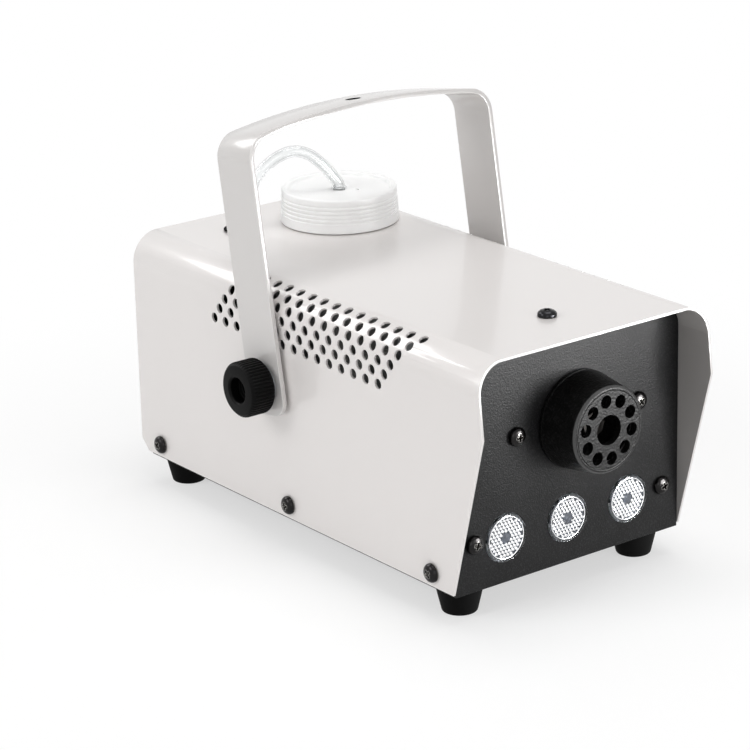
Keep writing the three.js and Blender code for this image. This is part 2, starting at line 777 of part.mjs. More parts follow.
// Heater
function makeHeater() {
  const left = nozzleX - heaterWidth / 2;
  const right = nozzleX + heaterWidth / 2;
  const section = rounded(nozzleX, nozzleHeight, heaterWidth, heaterDepth, heaterEdge, cornerSteps);
  const bossFront = heaterFrontY - heaterBossLength;
  const inletEnd = heaterRearY + heaterBossLength;
  const centre = [nozzleX, 0, nozzleHeight];
  const heater = joined(
    prism("y", section, heaterFrontY, heaterRearY),
    rod("y", centre, heaterBossRadius, bossFront, heaterFrontY + overrun, smallSides),
    rod("y", centre, heaterInletRadius, heaterRearY - overrun, inletEnd, smallSides),
  );
  add("heater_block", heater, castAluminium);

  const wrapSection = (gap, steps) =>
    rounded(nozzleX, nozzleHeight, heaterWidth + 2 * gap, heaterDepth + 2 * gap, heaterEdge + gap, steps);
  const wrap = wrapSection(fit + jacketThickness, softCornerSteps);
  const hollow = wrapSection(fit, cornerSteps);
  const jacket = prism("y", wrap, jacketFrontY, jacketRearY)
    .subtract(prism("y", hollow, jacketFrontY - overrun, jacketRearY + overrun));
  add("heater_jacket", jacket, glassFibre);

  const plateFront = panelBack + fit;
  const plateBack = plateFront + bracketSheet;
  const plateX = [nozzleX - frontBracketWidth / 2, nozzleX + frontBracketWidth / 2];
  const plateZ = [nozzleHeight - frontBracketHeight / 2, nozzleHeight + frontBracketHeight / 2];
  const armZ = [heaterBottom + heaterEdge, heaterTop - heaterEdge];
  const armY = [plateFront, frontBracketArmEndY];
  const through = [plateFront - overrun, plateBack + overrun];
  const screwHoles = panelScrewPlaces().slice(0, 2).map(([x, z]) =>
    rod("y", [x, 0, z], screwHole, ...through, smallSides),
  );
  const bracket = cutFrom(
    joined(
      block(plateX, [plateFront, plateBack], plateZ),
      block([left - fit - bracketSheet, left - fit], armY, armZ),
      block([right + fit, right + fit + bracketSheet], armY, armZ),
    ),
    rod("y", centre, nozzleSpigotRadius + fit, ...through),
    ...screwHoles,
  );
  add("heater_front_bracket", bracket, zincSteel);

  const saddleTop = heaterBottom - fit;
  const webBack = heaterRearY - rearBracketSaddleLength;
  const webY = [webBack - bracketSheet, webBack];
  const foot = [floorTop + fit, floorTop + fit + bracketSheet];
  const wide = [left, right];
  const stand = joined(
    block(wide, webY, [foot[0], saddleTop]),
    block(wide, [webY[0], heaterRearY], [saddleTop - bracketSheet, saddleTop]),
    block(wide, [webY[0], webY[1] + rearBracketFootLength], foot),
  );
  add("heater_rear_bracket", stand, zincSteel);

  const seat = heaterTop + fit;
  const thermostat = joined(
    rod("z", [nozzleX, thermostatY, 0], thermostatRadius, seat, seat + thermostatHeight, middleSides),
    block(
      [nozzleX - thermostatRadius / 2, nozzleX - thermostatRadius / 4],
      [thermostatY - thermostatRadius / 4, thermostatY + thermostatRadius / 4],
      [seat + thermostatHeight / 2, seat + 2 * thermostatHeight],
    ),
    block(
      [nozzleX + thermostatRadius / 4, nozzleX + thermostatRadius / 2],
      [thermostatY - thermostatRadius / 4, thermostatY + thermostatRadius / 4],
      [seat + thermostatHeight / 2, seat + 2 * thermostatHeight],
    ),
  );
  add("thermostat", thermostat, blackPlastic);
  const fuseSide = left - fit - thermalFuseRadius;
  const fuseEnds = [thermostatY - thermalFuseLength / 2, thermostatY + thermalFuseLength / 2];
  const fuse = rod("y", [fuseSide, 0, nozzleHeight], thermalFuseRadius, ...fuseEnds, smallSides);
  add("thermal_fuse", fuse, whiteNylon);

  const pipeEnd = bossFront - fit;
  const pipe = turned("y", centre, [
    [outletBoreRadius, outletJetY],
    [outletJetRadius, outletJetY],
    [outletJetRadius, outletJetY + outletJetLength],
    [outletPipeRadius, outletJetY + outletJetLength],
    [outletPipeRadius, pipeEnd],
    [outletBoreRadius, pipeEnd],
  ], smallSides);
  add("outlet_pipe", pipe, brass);
}

// Lights
function makeLights() {
  const boardFront = ledBoardY - ledBoardThickness;
  const flangeFront = panelBack + fit;
  const boardZ = [lensHeight - ledBoardHeight / 2, lensHeight + ledBoardHeight / 2];
  const half = ledDieSize / 2;
  const dieY = [boardFront - ledDieHeight, ledBoardY];
  const dieZ = [lensHeight - half, lensHeight + half];
  let board = block([-ledBoardWidth / 2, ledBoardWidth / 2], [boardFront, ledBoardY], boardZ);
  for (const x of lensX) board = board.add(block([x - half, x + half], dieY, dieZ));
  for (const [x, z] of panelScrewPlaces().slice(2)) {
    const post = rod("y", [x, 0, z], ledPostRadius, flangeFront, ledBoardY, smallSides);
    const hole = rod("y", [x, 0, z], screwHole, flangeFront - overrun, ledBoardY + overrun, smallSides);
    board = board.add(post).subtract(hole);
  }
  add("led_board", board, castAluminium);

  const front = panelFace - lensProud;
  const back = boardFront - ledDieHeight - fit;
  const words = ["left", "middle", "right"];
  lensX.forEach((x, i) => {
    const lens = turned("y", [x, 0, lensHeight], [
      [0, front + lensRimWidth / 2],
      [lensRadius - lensRimWidth, front + lensRimWidth / 2],
      [lensRadius - lensRimWidth, front],
      [lensRadius, front],
      [lensRadius, flangeFront],
      [lensFlangeRadius, flangeFront],
      [lensFlangeRadius, flangeFront + lensFlangeThickness],
      [lensBackRadius, back],
      [0, back],
    ], middleSides);
    add("led_lens_" + words[i], lens, clearAcrylic);
  });
}

// Handle, in a group at its pivot that leans back
function makeHandle() {
  const reach = handleCrownRadius - handleBend;
  const slope = Math.asin((handleOuter - handleBend) / reach);
  const bendCentre = handleTop - handleCrownRadius + reach * Math.cos(slope);
  const crownCentre = handleTop - handleCrownRadius;
  const quarter = Math.PI / 2;
  const bendX = handleOuter - handleBend;
  function strapLine(inset) {
    const bend = handleBend - inset;
    const crown = handleCrownRadius - inset;
    return [
      [-handleOuter + inset, -handleTail],
      ...arc(-bendX, bendCentre, bend, 2 * quarter, quarter + slope, bendSteps),
      ...arc(0, crownCentre, crown, quarter + slope, quarter - slope, crownSteps).slice(1, -1),
      ...arc(bendX, bendCentre, bend, quarter - slope, 0, bendSteps),
      [handleOuter - inset, -handleTail],
    ];
  }
  const outline = [...strapLine(0), ...strapLine(handleThickness).reverse()].reverse();
  const half = handleWidth / 2;
  const strap = prism("y", outline, -half, half);
  const cornerHeight = handleTailCorner - handleTail;
  const cornerY = half - handleTailCorner;
  const side = [
    ...arc(cornerY, cornerHeight, handleTailCorner, -quarter, 0, softCornerSteps),
    [half, handleTop + overrun],
    [-half, handleTop + overrun],
    ...arc(-cornerY, cornerHeight, handleTailCorner, -2 * quarter, -quarter, softCornerSteps),
  ];
  const trimmed = strap.intersect(prism("x", side, -handleOuter - overrun, handleOuter + overrun));
  const handle = cutFrom(
    trimmed,
    rod("x", [0, 0, 0], studHole, -handleOuter - overrun, handleOuter + overrun, middleSides),
    rod("z", [0, 0, 0], hangingHoleRadius, handleTop - 2 * overrun, handleTop + overrun, middleSides),
  );
  const group = new THREE.Group();
  group.position.set(0, pivotY, pivotHeight);
  group.rotation.x = -handleLean;
  machine.add(group);
  add("handle", handle, whiteEnamel, group);
}

// The clamps that hold the handle, one on each side
function knobOutline(radius) {
  const points = [];
  for (let i = 0; i < 2 * knobFlutes; i++) {
    const angle = (i / (2 * knobFlutes)) * 2 * Math.PI;
    const reach = i % 2 ? radius - knobFluteDepth : radius;
    points.push([reach * Math.cos(angle), reach * Math.sin(angle)]);
  }
  return points;
}

function makeClamp(side, word) {
  const group = new THREE.Group();
  group.position.set(0, pivotY, pivotHeight);
  group.rotation.y = (side * Math.PI) / 2; // +Z of the group points away from the case
  machine.add(group);
  const centre = [0, 0, 0];
  const socketEnd = knobOuter - knobRecessDepth - knobSocketRoof;
  const chamfered = turned("z", centre, [
    [0, knobInner],
    [knobRadius - knobEdge, knobInner],
    [knobRadius, knobInner + knobEdge],
    [knobRadius, knobOuter - knobEdge],
    [knobRadius - knobEdge, knobOuter],
    [0, knobOuter],
  ], fineSides);
  const knob = cutFrom(
    prism("z", knobOutline(knobRadius), knobInner, knobOuter).intersect(chamfered),
    rod("z", centre, knobRecessRadius, knobOuter - knobRecessDepth, knobOuter + overrun),
    rod("z", centre, studHole, knobInner - overrun, socketEnd, smallSides),
  );
  add(`clamp_knob_${word}`, knob, blackPlastic, group);
  const stud = rod("z", centre, studRadius, studInnerEnd, socketEnd - fit, smallSides);
  add(`clamp_stud_${word}`, stud, zincSteel, group);
  const washer = rod("z", centre, clampWasherRadius, washerInner, washerOuter)
    .subtract(rod("z", centre, studHole, washerInner - overrun, washerOuter + overrun, smallSides));
  add(`clamp_washer_${word}`, washer, zincSteel, group);
  const spacerInner = halfWidth + fit;
  const spacer = rod("z", centre, spacerRadius, spacerInner, spacerInner + spacerThickness)
    .subtract(rod("z", centre, studHole, halfWidth - overrun, handleOuter, smallSides));
  add(`clamp_spacer_${word}`, spacer, whiteNylon, group);
  const nut = rod("z", centre, nutAcrossCorners / 2, nutOuter - nutThickness, nutOuter, nutSides)
    .subtract(rod("z", centre, studHole, studInnerEnd, halfWidth, smallSides));
  add(`clamp_nut_${word}`, nut, zincSteel, group);
}

// Tank and cap
function makeTank() {
  const midZ = [tankBottom, tankTop];
  const inner = tankCorner - tankWall;
  const walls = 2 * tankWall;
  const outerShape = rounded(tankX, tankY, tankWidth, tankLength, tankCorner, softCornerSteps);
  const innerShape = rounded(tankX, tankY, tankWidth - walls, tankLength - walls, inner, softCornerSteps);
  const neck = [tankX, tankY, 0];
  const bottle = cutFrom(
    joined(prism("z", outerShape, ...midZ), rod("z", neck, neckRadius, tankTop - tankWall, neckTop)),
    prism("z", innerShape, tankBottom + tankWall, tankTop - tankWall),
    rod("z", neck, neckRadius - neckWall, tankTop - overrun, neckTop + overrun),
  );
  add("tank", bottle, milkyPlastic);
  const padRight = halfWidth - footSideInset - footBarbRadius - 2 * fit;
  const padX = [tankX - tankWidth / 2 + padEdge, padRight];
  const padY = [tankY - tankLength / 2 + padEdge, tankY + tankLength / 2 - padEdge];
  add("tank_pad", block(padX, padY, [padBottom, padBottom + padThickness]), blackRubber);

  const ribZone = capHeight - capBandHeight - capRimWidth;
  const ribPitch = ribZone / capRibCount;
  const flank = [];
  for (let i = 0; i < capRibCount; i++) {
    const z = capBottom + capBandHeight + i * ribPitch;
    const share = (z - capBottom) / capHeight;
    const radius = capRadius + (capTopRadius - capRadius) * share;
    flank.push([radius, z], [radius - capRibDepth, z + ribPitch / 2]);
  }
  const roofBottom = capDisc - capRoof;
  const holeRadius = hoseRadius + fit;
  const cap = turned("z", neck, [
    [holeRadius, roofBottom],
    [capInnerRadius, roofBottom],
    [capInnerRadius, capBottom],
    [capRadius, capBottom],
    ...flank,
    [capTopRadius, capTop - capRimWidth],
    [capTopRadius - capRimWidth / 3, capTop],
    [capTopRadius - capRimWidth, capTop],
    [capTopRadius - capRimWidth, capDisc],
    [holeRadius, capDisc],
  ], fineSides);
  add("tank_cap", cap, milkyPlastic);

  const filterBottom = tankBottom + tankWall + filterFloorGap;
  const filterTop = filterBottom + filterLength;
  const socketBottom = filterTop - filterSocket;
  const filter = rod("z", neck, filterRadius, filterBottom, filterTop, smallSides)
    .subtract(rod("z", neck, hoseRadius + fit, socketBottom, filterTop + overrun, smallSides));
  add("pickup_filter", filter, brass);
  const pickup = rod("z", neck, hoseRadius, socketBottom + fit, capDisc + pickupRise, smallSides);
  add("pickup_tube", pickup, clearSilicone);
}

// Hose from the cap over to the grommet, and down inside the case to the pump
function hoseRoute() {
  const across = [grommetX - tankX, grommetY - tankY];
  const route = [[tankX, tankY, hoseStart]];
  hoseAcrossShares.forEach((share, i) => {
    route.push([tankX + across[0] * share, tankY + across[1] * share, capDisc + hoseRise[i]]);
  });
  const toPump = [pumpX - grommetX, pumpY - grommetY];
  const insideTop = coverInnerTop - grommetFlangeThickness;
  const drop = insideTop - pumpInletHeight;
  hoseDropShares.forEach((share, i) => {
    const swing = hoseSwingShares[i];
    route.push([grommetX + toPump[0] * swing, grommetY + toPump[1] * swing, insideTop - drop * share]);
  });
  route[route.length - 1][2] += fit;
  return route;
}

function makeHose() {
  add("feed_hose", tube(hoseRoute(), hoseRadius, smallSides, hoseSteps), clearSilicone);
  const top = caseHeight + fit;
  const bottom = coverInnerTop - fit;
  const hole = hoseRadius + fit;
  const grommet = turned("z", [grommetX, grommetY, 0], [
    [hole, bottom - grommetFlangeThickness],
    [grommetFlangeRadius, bottom - grommetFlangeThickness],
    [grommetFlangeRadius, bottom],
    [grommetNeckRadius, bottom],
    [grommetNeckRadius, top],
    [grommetFlangeRadius, top],
    [grommetFlangeRadius - grommetFlangeThickness / 2, top + grommetFlangeThickness],
    [hole, top + grommetFlangeThickness],
  ], middleSides);
  add("hose_grommet", grommet, blackRubber);
}

// Pump
function makePump() {
  const frameTop = pumpFrameBottom + pumpFrameHeight;
  const frameX = [pumpX - pumpFrameWidth / 2, pumpX + pumpFrameWidth / 2];
  const frameY = [pumpY - pumpFrameWidth / 2, pumpY + pumpFrameWidth / 2];
  const axis = [pumpX, pumpY, 0];
  const frame = block(frameX, frameY, [pumpFrameBottom, frameTop])
    .subtract(rod("z", axis, pumpCoreRadius + fit, pumpFrameBottom - overrun, frameTop + overrun));
  add("pump_coil", frame, zincSteel);

  const base = floorTop + fit;
  const barbBottom = pumpInletHeight - pumpBarbLength;
  const core = turned("z", axis, [
    [0, base],
    [pumpBaseRadius, base],
    [pumpBaseRadius, pumpFrameBottom - fit],
    [pumpCoreRadius, pumpFrameBottom - fit],
    [pumpCoreRadius, barbBottom],
    [pumpBarbRadius, barbBottom],
    [pumpBarbRadius, pumpInletHeight],
    [0, pumpInletHeight],
  ], middleSides);
  const outlet = [pumpX, 0, pumpOutletHeight];
  const outletEnd = pumpY - pumpBaseRadius - pumpOutletLength;
  const boreTop = plungerBottom + plungerLength + plungerStroke + runningFit;
  const boreBottom = plungerBottom - fit;
  const bore = rod("z", axis, pumpBoreRadius, boreBottom, boreTop, smallSides);
  const feed = rod("z", axis, pumpBarbRadius / 2, boreTop - overrun, pumpInletHeight + overrun, smallSides);
  const barb = rod("y", outlet, pumpBarbRadius, outletEnd, pumpY, smallSides);
  add("pump_body", cutFrom(core.add(barb), bore, feed), brass);
  const plunger = rod("z", axis, plungerRadius, plungerBottom, plungerBottom + plungerLength, smallSides);
  add("pump_plunger", plunger, zincSteel);

  const start = [pumpX, outletEnd - fit, pumpOutletHeight];
  const end = [nozzleX, heaterRearY + heaterBossLength + fit, nozzleHeight];
  const route = tubeAlongShares.map((along, i) => [
    start[0] + (end[0] - start[0]) * tubeAcrossShares[i],
    start[1] + (end[1] - start[1]) * along,
    start[2] + (end[2] - start[2]) * tubeRiseShares[i],
  ]);
  add("pressure_tube", tube(route, hoseRadius, leadSides, leadSteps), whiteNylon);
}

// Control board
function makeBoard() {
  const x = boardWidth / 2;
  const y = boardLength / 2;
  const top = boardBottom + boardThickness;
  const plate = block([-x, x], [boardY - y, boardY + y], [boardBottom, top]);
  const relayX = -x + boardHoleInset + relayWidth;
  const transformerX = x - boardHoleInset - transformerWidth;
  const board = joined(
    plate,
    block(
      [relayX, relayX + relayWidth],
      [boardY - relayLength / 2, boardY + relayLength / 2],
      [boardBottom, top + relayHeight],
    ),
    block(
      [transformerX, transformerX + transformerWidth],
      [boardY - transformerLength / 2, boardY + transformerLength / 2],
      [boardBottom, top + transformerHeight],
    ),
    block(
      [terminalX - terminalWidth / 2, terminalX + terminalWidth / 2],
      [boardY + y - terminalLength, boardY + y],
      [boardBottom, top + terminalHeight],
    ),
  );
  add("control_board", board, greenBoard);
}

// Pieces in the rear panel
function makeMainsInlet() {
  const back = rearInside - inletBodyDepth;
  const edge = inletCorner / 2;
  const cavityBack = flangeOuter - inletCavityDepth;
  const bodyShape = rounded(inletX, inletHeight, inletBodyWidth, inletBodyHeight, inletCorner, cornerSteps);
  const flangeShape = rounded(inletX, inletHeight, inletFlangeWidth, inletFlangeHeight, edge, cornerSteps);
  const cavityShape = rounded(inletX, inletHeight, inletCavityWidth, inletCavityHeight, edge, cornerSteps);
  const body = prism("y", bodyShape, back, flangeOuter);
  const flange = prism("y", flangeShape, flangeInner, flangeOuter);
  let inlet = body.add(flange).subtract(prism("y", cavityShape, cavityBack, flangeOuter + overrun));
  for (const [across, rise] of [[-1, -1], [0, 1], [1, -1]]) {
    const x = inletX + across * pinSpacing;
    const z = inletHeight + rise * pinRise;
    const pin = block(
      [x - pinWidth / 2, x + pinWidth / 2],
      [cavityBack - overrun / 2, cavityBack + pinLength],
      [z - pinHeight / 2, z + pinHeight / 2],
    );
    inlet = inlet.add(pin);
  }
  add("mains_inlet", inlet, blackPlastic);
}

function makeSwitch() {
  const pivot = flangeOuter + rockerProud - rockerDepth;
  const edge = flangeThickness / 2;
  const bodyShape = rounded(switchX, switchHeight, switchBodyWidth, switchBodyHeight, fit, 1);
  const wide = switchFlangeWidth;
  const flangeShape = rounded(switchX, switchHeight, wide, switchFlangeHeight, edge, cornerSteps);
  const halfX = rockerWidth / 2 + runningFit;
  const halfZ = rockerHeight / 2 + runningFit;
  const frame = cutFrom(
    joined(
      prism("y", bodyShape, rearInside - switchBodyDepth, flangeOuter),
      prism("y", flangeShape, flangeInner, flangeOuter),
    ),
    block(
      [switchX - halfX, switchX + halfX],
      [pivot - rockerDepth, flangeOuter + overrun],
      [switchHeight - halfZ, switchHeight + halfZ],
    ),
  );
  add("switch_frame", frame, blackPlastic);

  // The rocker, in a group at its pivot that leans to the off side
  const group = new THREE.Group();
  group.position.set(switchX, pivot, switchHeight);
  group.rotation.x = -rockerTilt;
  machine.add(group);
  const half = rockerHeight / 2 - runningFit;
  const root = runningFit + rockerProud;
  const wedge = [
    [-root, -half / 2],
    [rockerDepth, -half],
    [rockerDepth - runningFit, 0],
    [rockerDepth, half],
    [-root, half / 2],
  ];
  add("switch_rocker", prism("x", wedge, -rockerWidth / 2, rockerWidth / 2), redPlastic, group);
}

function makeFuseHolder() {
  const centre = [fuseX, 0, fuseHeight];
  const capBore = fuseCapRadius + fit;
  const seat = flangeOuter - fuseCapLength / 2;
  const holder = joined(
    rod("y", centre, fuseBodyRadius, rearInside - fuseBodyDepth, flangeOuter, middleSides),
    rod("y", centre, fuseFlangeRadius, flangeInner, flangeOuter, middleSides),
  ).subtract(rod("y", centre, capBore, seat - fit, flangeOuter + overrun, middleSides));
  add("fuse_holder", holder, blackPlastic);
  const capEnd = seat + fuseCapLength;
  const slot = block(
    [fuseX - capBore, fuseX + capBore],
    [capEnd - fuseCapLength / 4, capEnd + overrun],
    [fuseHeight - fuseCapSlot / 2, fuseHeight + fuseCapSlot / 2],
  );
  const cap = rod("y", centre, fuseCapRadius, seat, capEnd, middleSides).subtract(slot);
  add("fuse_cap", cap, blackPlastic);
}

function makeRemoteSocket() {
  const centre = [remoteX, 0, remoteHeight];
  const cavityBack = flangeOuter - remoteCavityDepth;
  const shell = joined(
    rod("y", centre, remoteBodyRadius, rearInside - remoteBodyDepth, flangeOuter, middleSides),
    rod("y", centre, remoteFlangeRadius, flangeInner, flangeOuter, middleSides),
  ).subtract(rod("y", centre, remoteCavityRadius, cavityBack, flangeOuter + overrun, middleSides));
  const pinY = [cavityBack - overrun / 2, cavityBack + remotePinLength];
  const pins = ring(remoteX, remoteHeight, remoteCavityRadius / 2, remotePinCount).map(([x, z]) =>
    rod("y", [x, 0, z], remotePinRadius, ...pinY, pinSides),
  );
  add("remote_socket", joined(shell, ...pins), zincSteel);
}

// Lead from the mains inlet to the control board's terminals
function makeLead() {
  const start = rearInside - inletBodyDepth - fit;
  const end = boardY + boardLength / 2 + fit;
  const low = floorTop + fit + 2 * leadRadius;
  const boardLevel = boardBottom + boardThickness + terminalHeight / 2;
  const side = pumpX + (tankX - tankWidth / 2 - pumpX) * leadSideShare;
  const step = 2 * leadRadius;
  const route = [
    [inletX, start, inletHeight],
    [inletX, start - step / 2, inletHeight],
    [(inletX + side) / 2, start - 2 * step, (low + inletHeight) / 2 + step / 2],
    [side, start - 4 * step, low + step / 2],
    [side, pumpY, low],
    [side, pivotY, low],
    [(side + terminalX) / 2, (pivotY + end) / 2, (low + boardLevel) / 2],
    [terminalX, end + 2 * step, boardLevel],
    [terminalX, end, boardLevel],
  ];
  add("mains_lead", tube(route, leadRadius, leadSides, leadSteps), greyLead);
}

makeCover();
makeChassis();
makeFeet();
makeScrews();
makeNozzle();
makeHeater();
makeLights();
makeHandle();
makeClamp(-1, "left");
makeClamp(1, "right");
makeTank();
makeHose();
makePump();
makeBoard();
makeMainsInlet();
makeSwitch();
makeFuseHolder();
makeRemoteSocket();
makeLead();

export default machine;
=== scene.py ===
import json
import math

import bmesh
import bpy
from mathutils import Matrix, Vector

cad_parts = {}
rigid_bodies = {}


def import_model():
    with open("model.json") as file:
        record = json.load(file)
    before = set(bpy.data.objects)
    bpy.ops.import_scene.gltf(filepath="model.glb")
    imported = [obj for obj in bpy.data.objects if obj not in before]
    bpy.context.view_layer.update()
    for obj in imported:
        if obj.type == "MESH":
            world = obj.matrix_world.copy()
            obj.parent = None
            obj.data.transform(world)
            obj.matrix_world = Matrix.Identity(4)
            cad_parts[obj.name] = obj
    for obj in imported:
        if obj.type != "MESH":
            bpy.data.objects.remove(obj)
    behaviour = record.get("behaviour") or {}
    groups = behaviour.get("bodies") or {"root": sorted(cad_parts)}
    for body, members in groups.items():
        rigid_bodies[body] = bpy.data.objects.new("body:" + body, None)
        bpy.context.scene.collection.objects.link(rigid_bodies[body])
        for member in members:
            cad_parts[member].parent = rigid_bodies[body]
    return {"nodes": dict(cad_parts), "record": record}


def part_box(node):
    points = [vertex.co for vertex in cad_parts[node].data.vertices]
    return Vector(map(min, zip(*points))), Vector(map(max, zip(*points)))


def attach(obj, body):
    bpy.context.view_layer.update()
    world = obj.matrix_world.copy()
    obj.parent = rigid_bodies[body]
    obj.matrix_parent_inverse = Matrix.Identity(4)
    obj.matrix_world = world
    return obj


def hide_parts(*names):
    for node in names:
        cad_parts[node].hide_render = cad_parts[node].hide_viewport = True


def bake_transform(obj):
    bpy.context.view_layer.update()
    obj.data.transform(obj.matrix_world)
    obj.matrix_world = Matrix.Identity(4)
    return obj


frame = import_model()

bl_info = {
    "name": "Fog machine",
    "version": (1, 0, 0),
    "blender": (4, 5, 0),
    "location": "View3D > Sidebar > Fog machine",
    "description": "Builds a small stage fog machine over its packed frame",
    "category": "Add Mesh",
}

SIDES = {"left": -1, "right": 1}
QUARTER = math.pi / 2
ALONG = {
    "x": Matrix.Rotation(QUARTER, 4, "Y"),
    "-x": Matrix.Rotation(-QUARTER, 4, "Y"),
    "y": Matrix.Rotation(-QUARTER, 4, "X"),
    "-y": Matrix.Rotation(QUARTER, 4, "X"),
    "z": Matrix.Identity(4),
}


# Properties


def length(name, millimetres, description):
    """A size property, given in millimetres."""
    return bpy.props.FloatProperty(
        name=name, description=description, default=millimetres / 1000, min=0, unit="LENGTH", subtype="DISTANCE"
    )


def share(name, value, description):
    """A property between 0 and 1."""
    return bpy.props.FloatProperty(name=name, description=description, default=value, min=0, max=1, subtype="FACTOR")


def number(name, value, description):
    """A count."""
    return bpy.props.IntProperty(name=name, description=description, default=value, min=1)


def degrees(name, value, description):
    """An angle property, given in degrees."""
    return bpy.props.FloatProperty(name=name, description=description, default=math.radians(value), subtype="ANGLE")


def linear(code):
    """A colour written as sRGB hex digits, as linear values."""
    channels = [int(code[i : i + 2], 16) / 255 for i in (0, 2, 4)]
    return [c / 12.92 if c <= 0.04045 else ((c + 0.055) / 1.055) ** 2.4 for c in channels]


def colour(name, code, description):
    """A colour property, given as sRGB hex digits."""
    return bpy.props.FloatVectorProperty(
        name=name, description=description, default=linear(code), min=0, max=1, size=3, subtype="COLOR"
    )


class CoverSizes(bpy.types.PropertyGroup):
    """Sizes of the bent sheet cover."""

    sheet: length("Sheet", 1, "Thickness of the cover's sheet")
    bend: length("Bend", 13, "Outer radius of the two bends")
    steps: number("Bend steps", 20, "Facets round each bend")
    ease: length("Bend ease", 0.8, "Flat strip beside each bend that keeps the flats flat in the shading")
    paint_edge: length("Painted edge", 0.3, "Round of the enamel on every cut edge")
    visor_setback: length("Visor setback", 3.2, "How far the visor's top edge lies behind its kink")
    kink: length("Kink height", 83.5, "Height of the kink in the visor's edge")
    rear_chamfer: length("Rear chamfer", 5, "Chamfer of the cover's lower rear corners")
    vent: length("Vent radius", 2.2, "Radius of one vent")
    vent_sides: number("Vent sides", 18, "Sides of one vent")
    vent_rows: number("Vent rows", 6, "Rows of vents on each bend")
    vent_columns: number("Vent columns", 15, "Vents in a row")
    vent_pitch: length("Vent pitch", 8.1, "Spacing of the vents in a row")
    vent_rise: length("Vent row spacing", 5, "Spacing of the rows round the bend")
    vent_low: length("Lowest vents", 89.8, "Height of the lowest row")
    vent_rear: length("Rear vent", 58.2, "Place of the rearmost vent behind the middle")
    screw_hole: length("Screw hole", 2.3, "Radius of a screw hole")
    stud_hole: length("Stud hole", 3.3, "Radius of a clamp stud's hole")
    grommet_hole: length("Grommet hole", 4.5, "Radius of the hose grommet's hole")
    neck_hole: length("Neck hole", 23.8, "Radius of the hole round the tank's neck")


class HandleSizes(bpy.types.PropertyGroup):
    """Sizes of the strap handle."""

    width: length("Width", 24, "Width of the strap")
    thickness: length("Thickness", 2, "Thickness of the strap")
    edge: length("Painted edge", 0.35, "Round of the enamel on the strap's edges")
    top: length("Top", 108.72, "Height of the crown over the pivot")
    bend: length("Bend", 11, "Outer radius of the two bends")
    crown: length("Crown radius", 330, "Radius of the slightly arched crown")
    tail: length("Tail", 13.5, "Length of strap below the pivot")
    tail_corner: length("Tail corner", 7, "Radius of the tail's corners")
    hanging_hole: length("Hanging hole", 3.5, "Radius of the hole for a lighting clamp")
    bend_steps: number("Bend steps", 14, "Facets round each bend")
    crown_steps: number("Crown steps", 24, "Facets along the crown")
    lean: degrees("Lean", 9.7, "How far the handle leans back")
    bush_wall: length("Bush wall", 0.3, "Wall of the tapped bush in the hanging hole")


class ClampSizes(bpy.types.PropertyGroup):
    """Sizes of a hand knob."""

    flutes: number("Flutes", 50, "Grip flutes round the knob")
    flute_depth: length("Flute depth", 0.4, "Depth of a flute")
    flute_points: number("Flute points", 4, "Points across one flute")
    edge: length("Edge", 1.3, "Chamfer of the knob's edges")
    soften: length("Soften", 0.5, "Round of the moulded corners")
    dome: length("Dome", 0.35, "How far the front face bulges")
    recess: length("Recess", 5.4, "Radius of the recess in the front")
    recess_depth: length("Recess depth", 5, "Depth of that recess")
    recess_lip: length("Recess lip", 0.7, "Width of the recess's chamfered lip")
    socket: length("Socket", 3.3, "Radius of the threaded insert's bore")


class NozzleSizes(bpy.types.PropertyGroup):
    """Sizes of the nozzle's barrel and disc."""

    base: length("Base radius", 20.5, "Radius of the lip on the panel")
    lip: length("Lip", 1.6, "Length of that lip")
    shoulder: length("Shoulder radius", 20.4, "Radius of the barrel behind")
    front: length("Front radius", 18.2, "Radius of the barrel in front")
    chamfer: length("Chamfer", 1, "Chamfer of the front edge")
    wall: length("Wall", 2, "Wall of the barrel")
    soften: length("Soften", 0.35, "Round of the moulded corners")
    spigot: length("Spigot", 15, "Radius of the spigot in the panel")
    gap: length("Gap", 0.05, "Clearance between barrel and disc")
    disc: length("Disc", 3, "Thickness of the disc")
    bore: length("Bore", 6.3, "Radius of the middle hole")
    hole: length("Hole", 2.75, "Radius of an outer hole")
    circle: length("Hole circle", 12.2, "Radius of the circle of holes")
    holes: number("Holes", 10, "Holes on the circle")
    turn: degrees("Turn", 25, "How far the ring of holes is turned")
    edge: length("Hole edge", 0.3, "Round of the holes' edges")
    steps: number("Steps", 96, "Facets round the barrel")


class LightSizes(bpy.types.PropertyGroup):
    """Sizes of the lenses and what shows in them."""

    radius: length("Radius", 10, "Radius of the lens in the panel")
    rim: length("Rim", 0.75, "Width of the clear rim")
    groove: length("Groove", 0.25, "Gap between the rim and the bright ring in it")
    ring: length("Ring", 0.45, "Width of the bright ring")
    step: length("Step", 0.95, "How deep the lens's face lies in the rim")
    edge: length("Edge", 0.25, "Round of the rim's edges")
    back: length("Back", 5, "Radius of the lens at the diode")
    sheet: length("Panel sheet", 1.3, "Front panel's sheet with the clearance behind it")
    flange: length("Flange", 1.6, "Thickness of the flange behind the panel")
    cup_gap: length("Cup gap", 0.25, "Air between the lens and its white cup")
    cup_wall: length("Cup wall", 0.5, "Wall of the cup")
    plate: length("Plate", 0.2, "Thickness of the plate that the cells stand on")
    cell: length("Cell", 1.7, "Spacing of the honeycomb cells")
    cell_gap: length("Cell gap", 0.32, "Gap between the cells")
    cell_height: length("Cell height", 0.45, "How far a cell stands on the plate")
    cell_top: share("Cell top", 0.6, "Width of a cell's flat top as a share of its foot")
    die: length("Die", 2.5, "Radius of the diode in the middle")


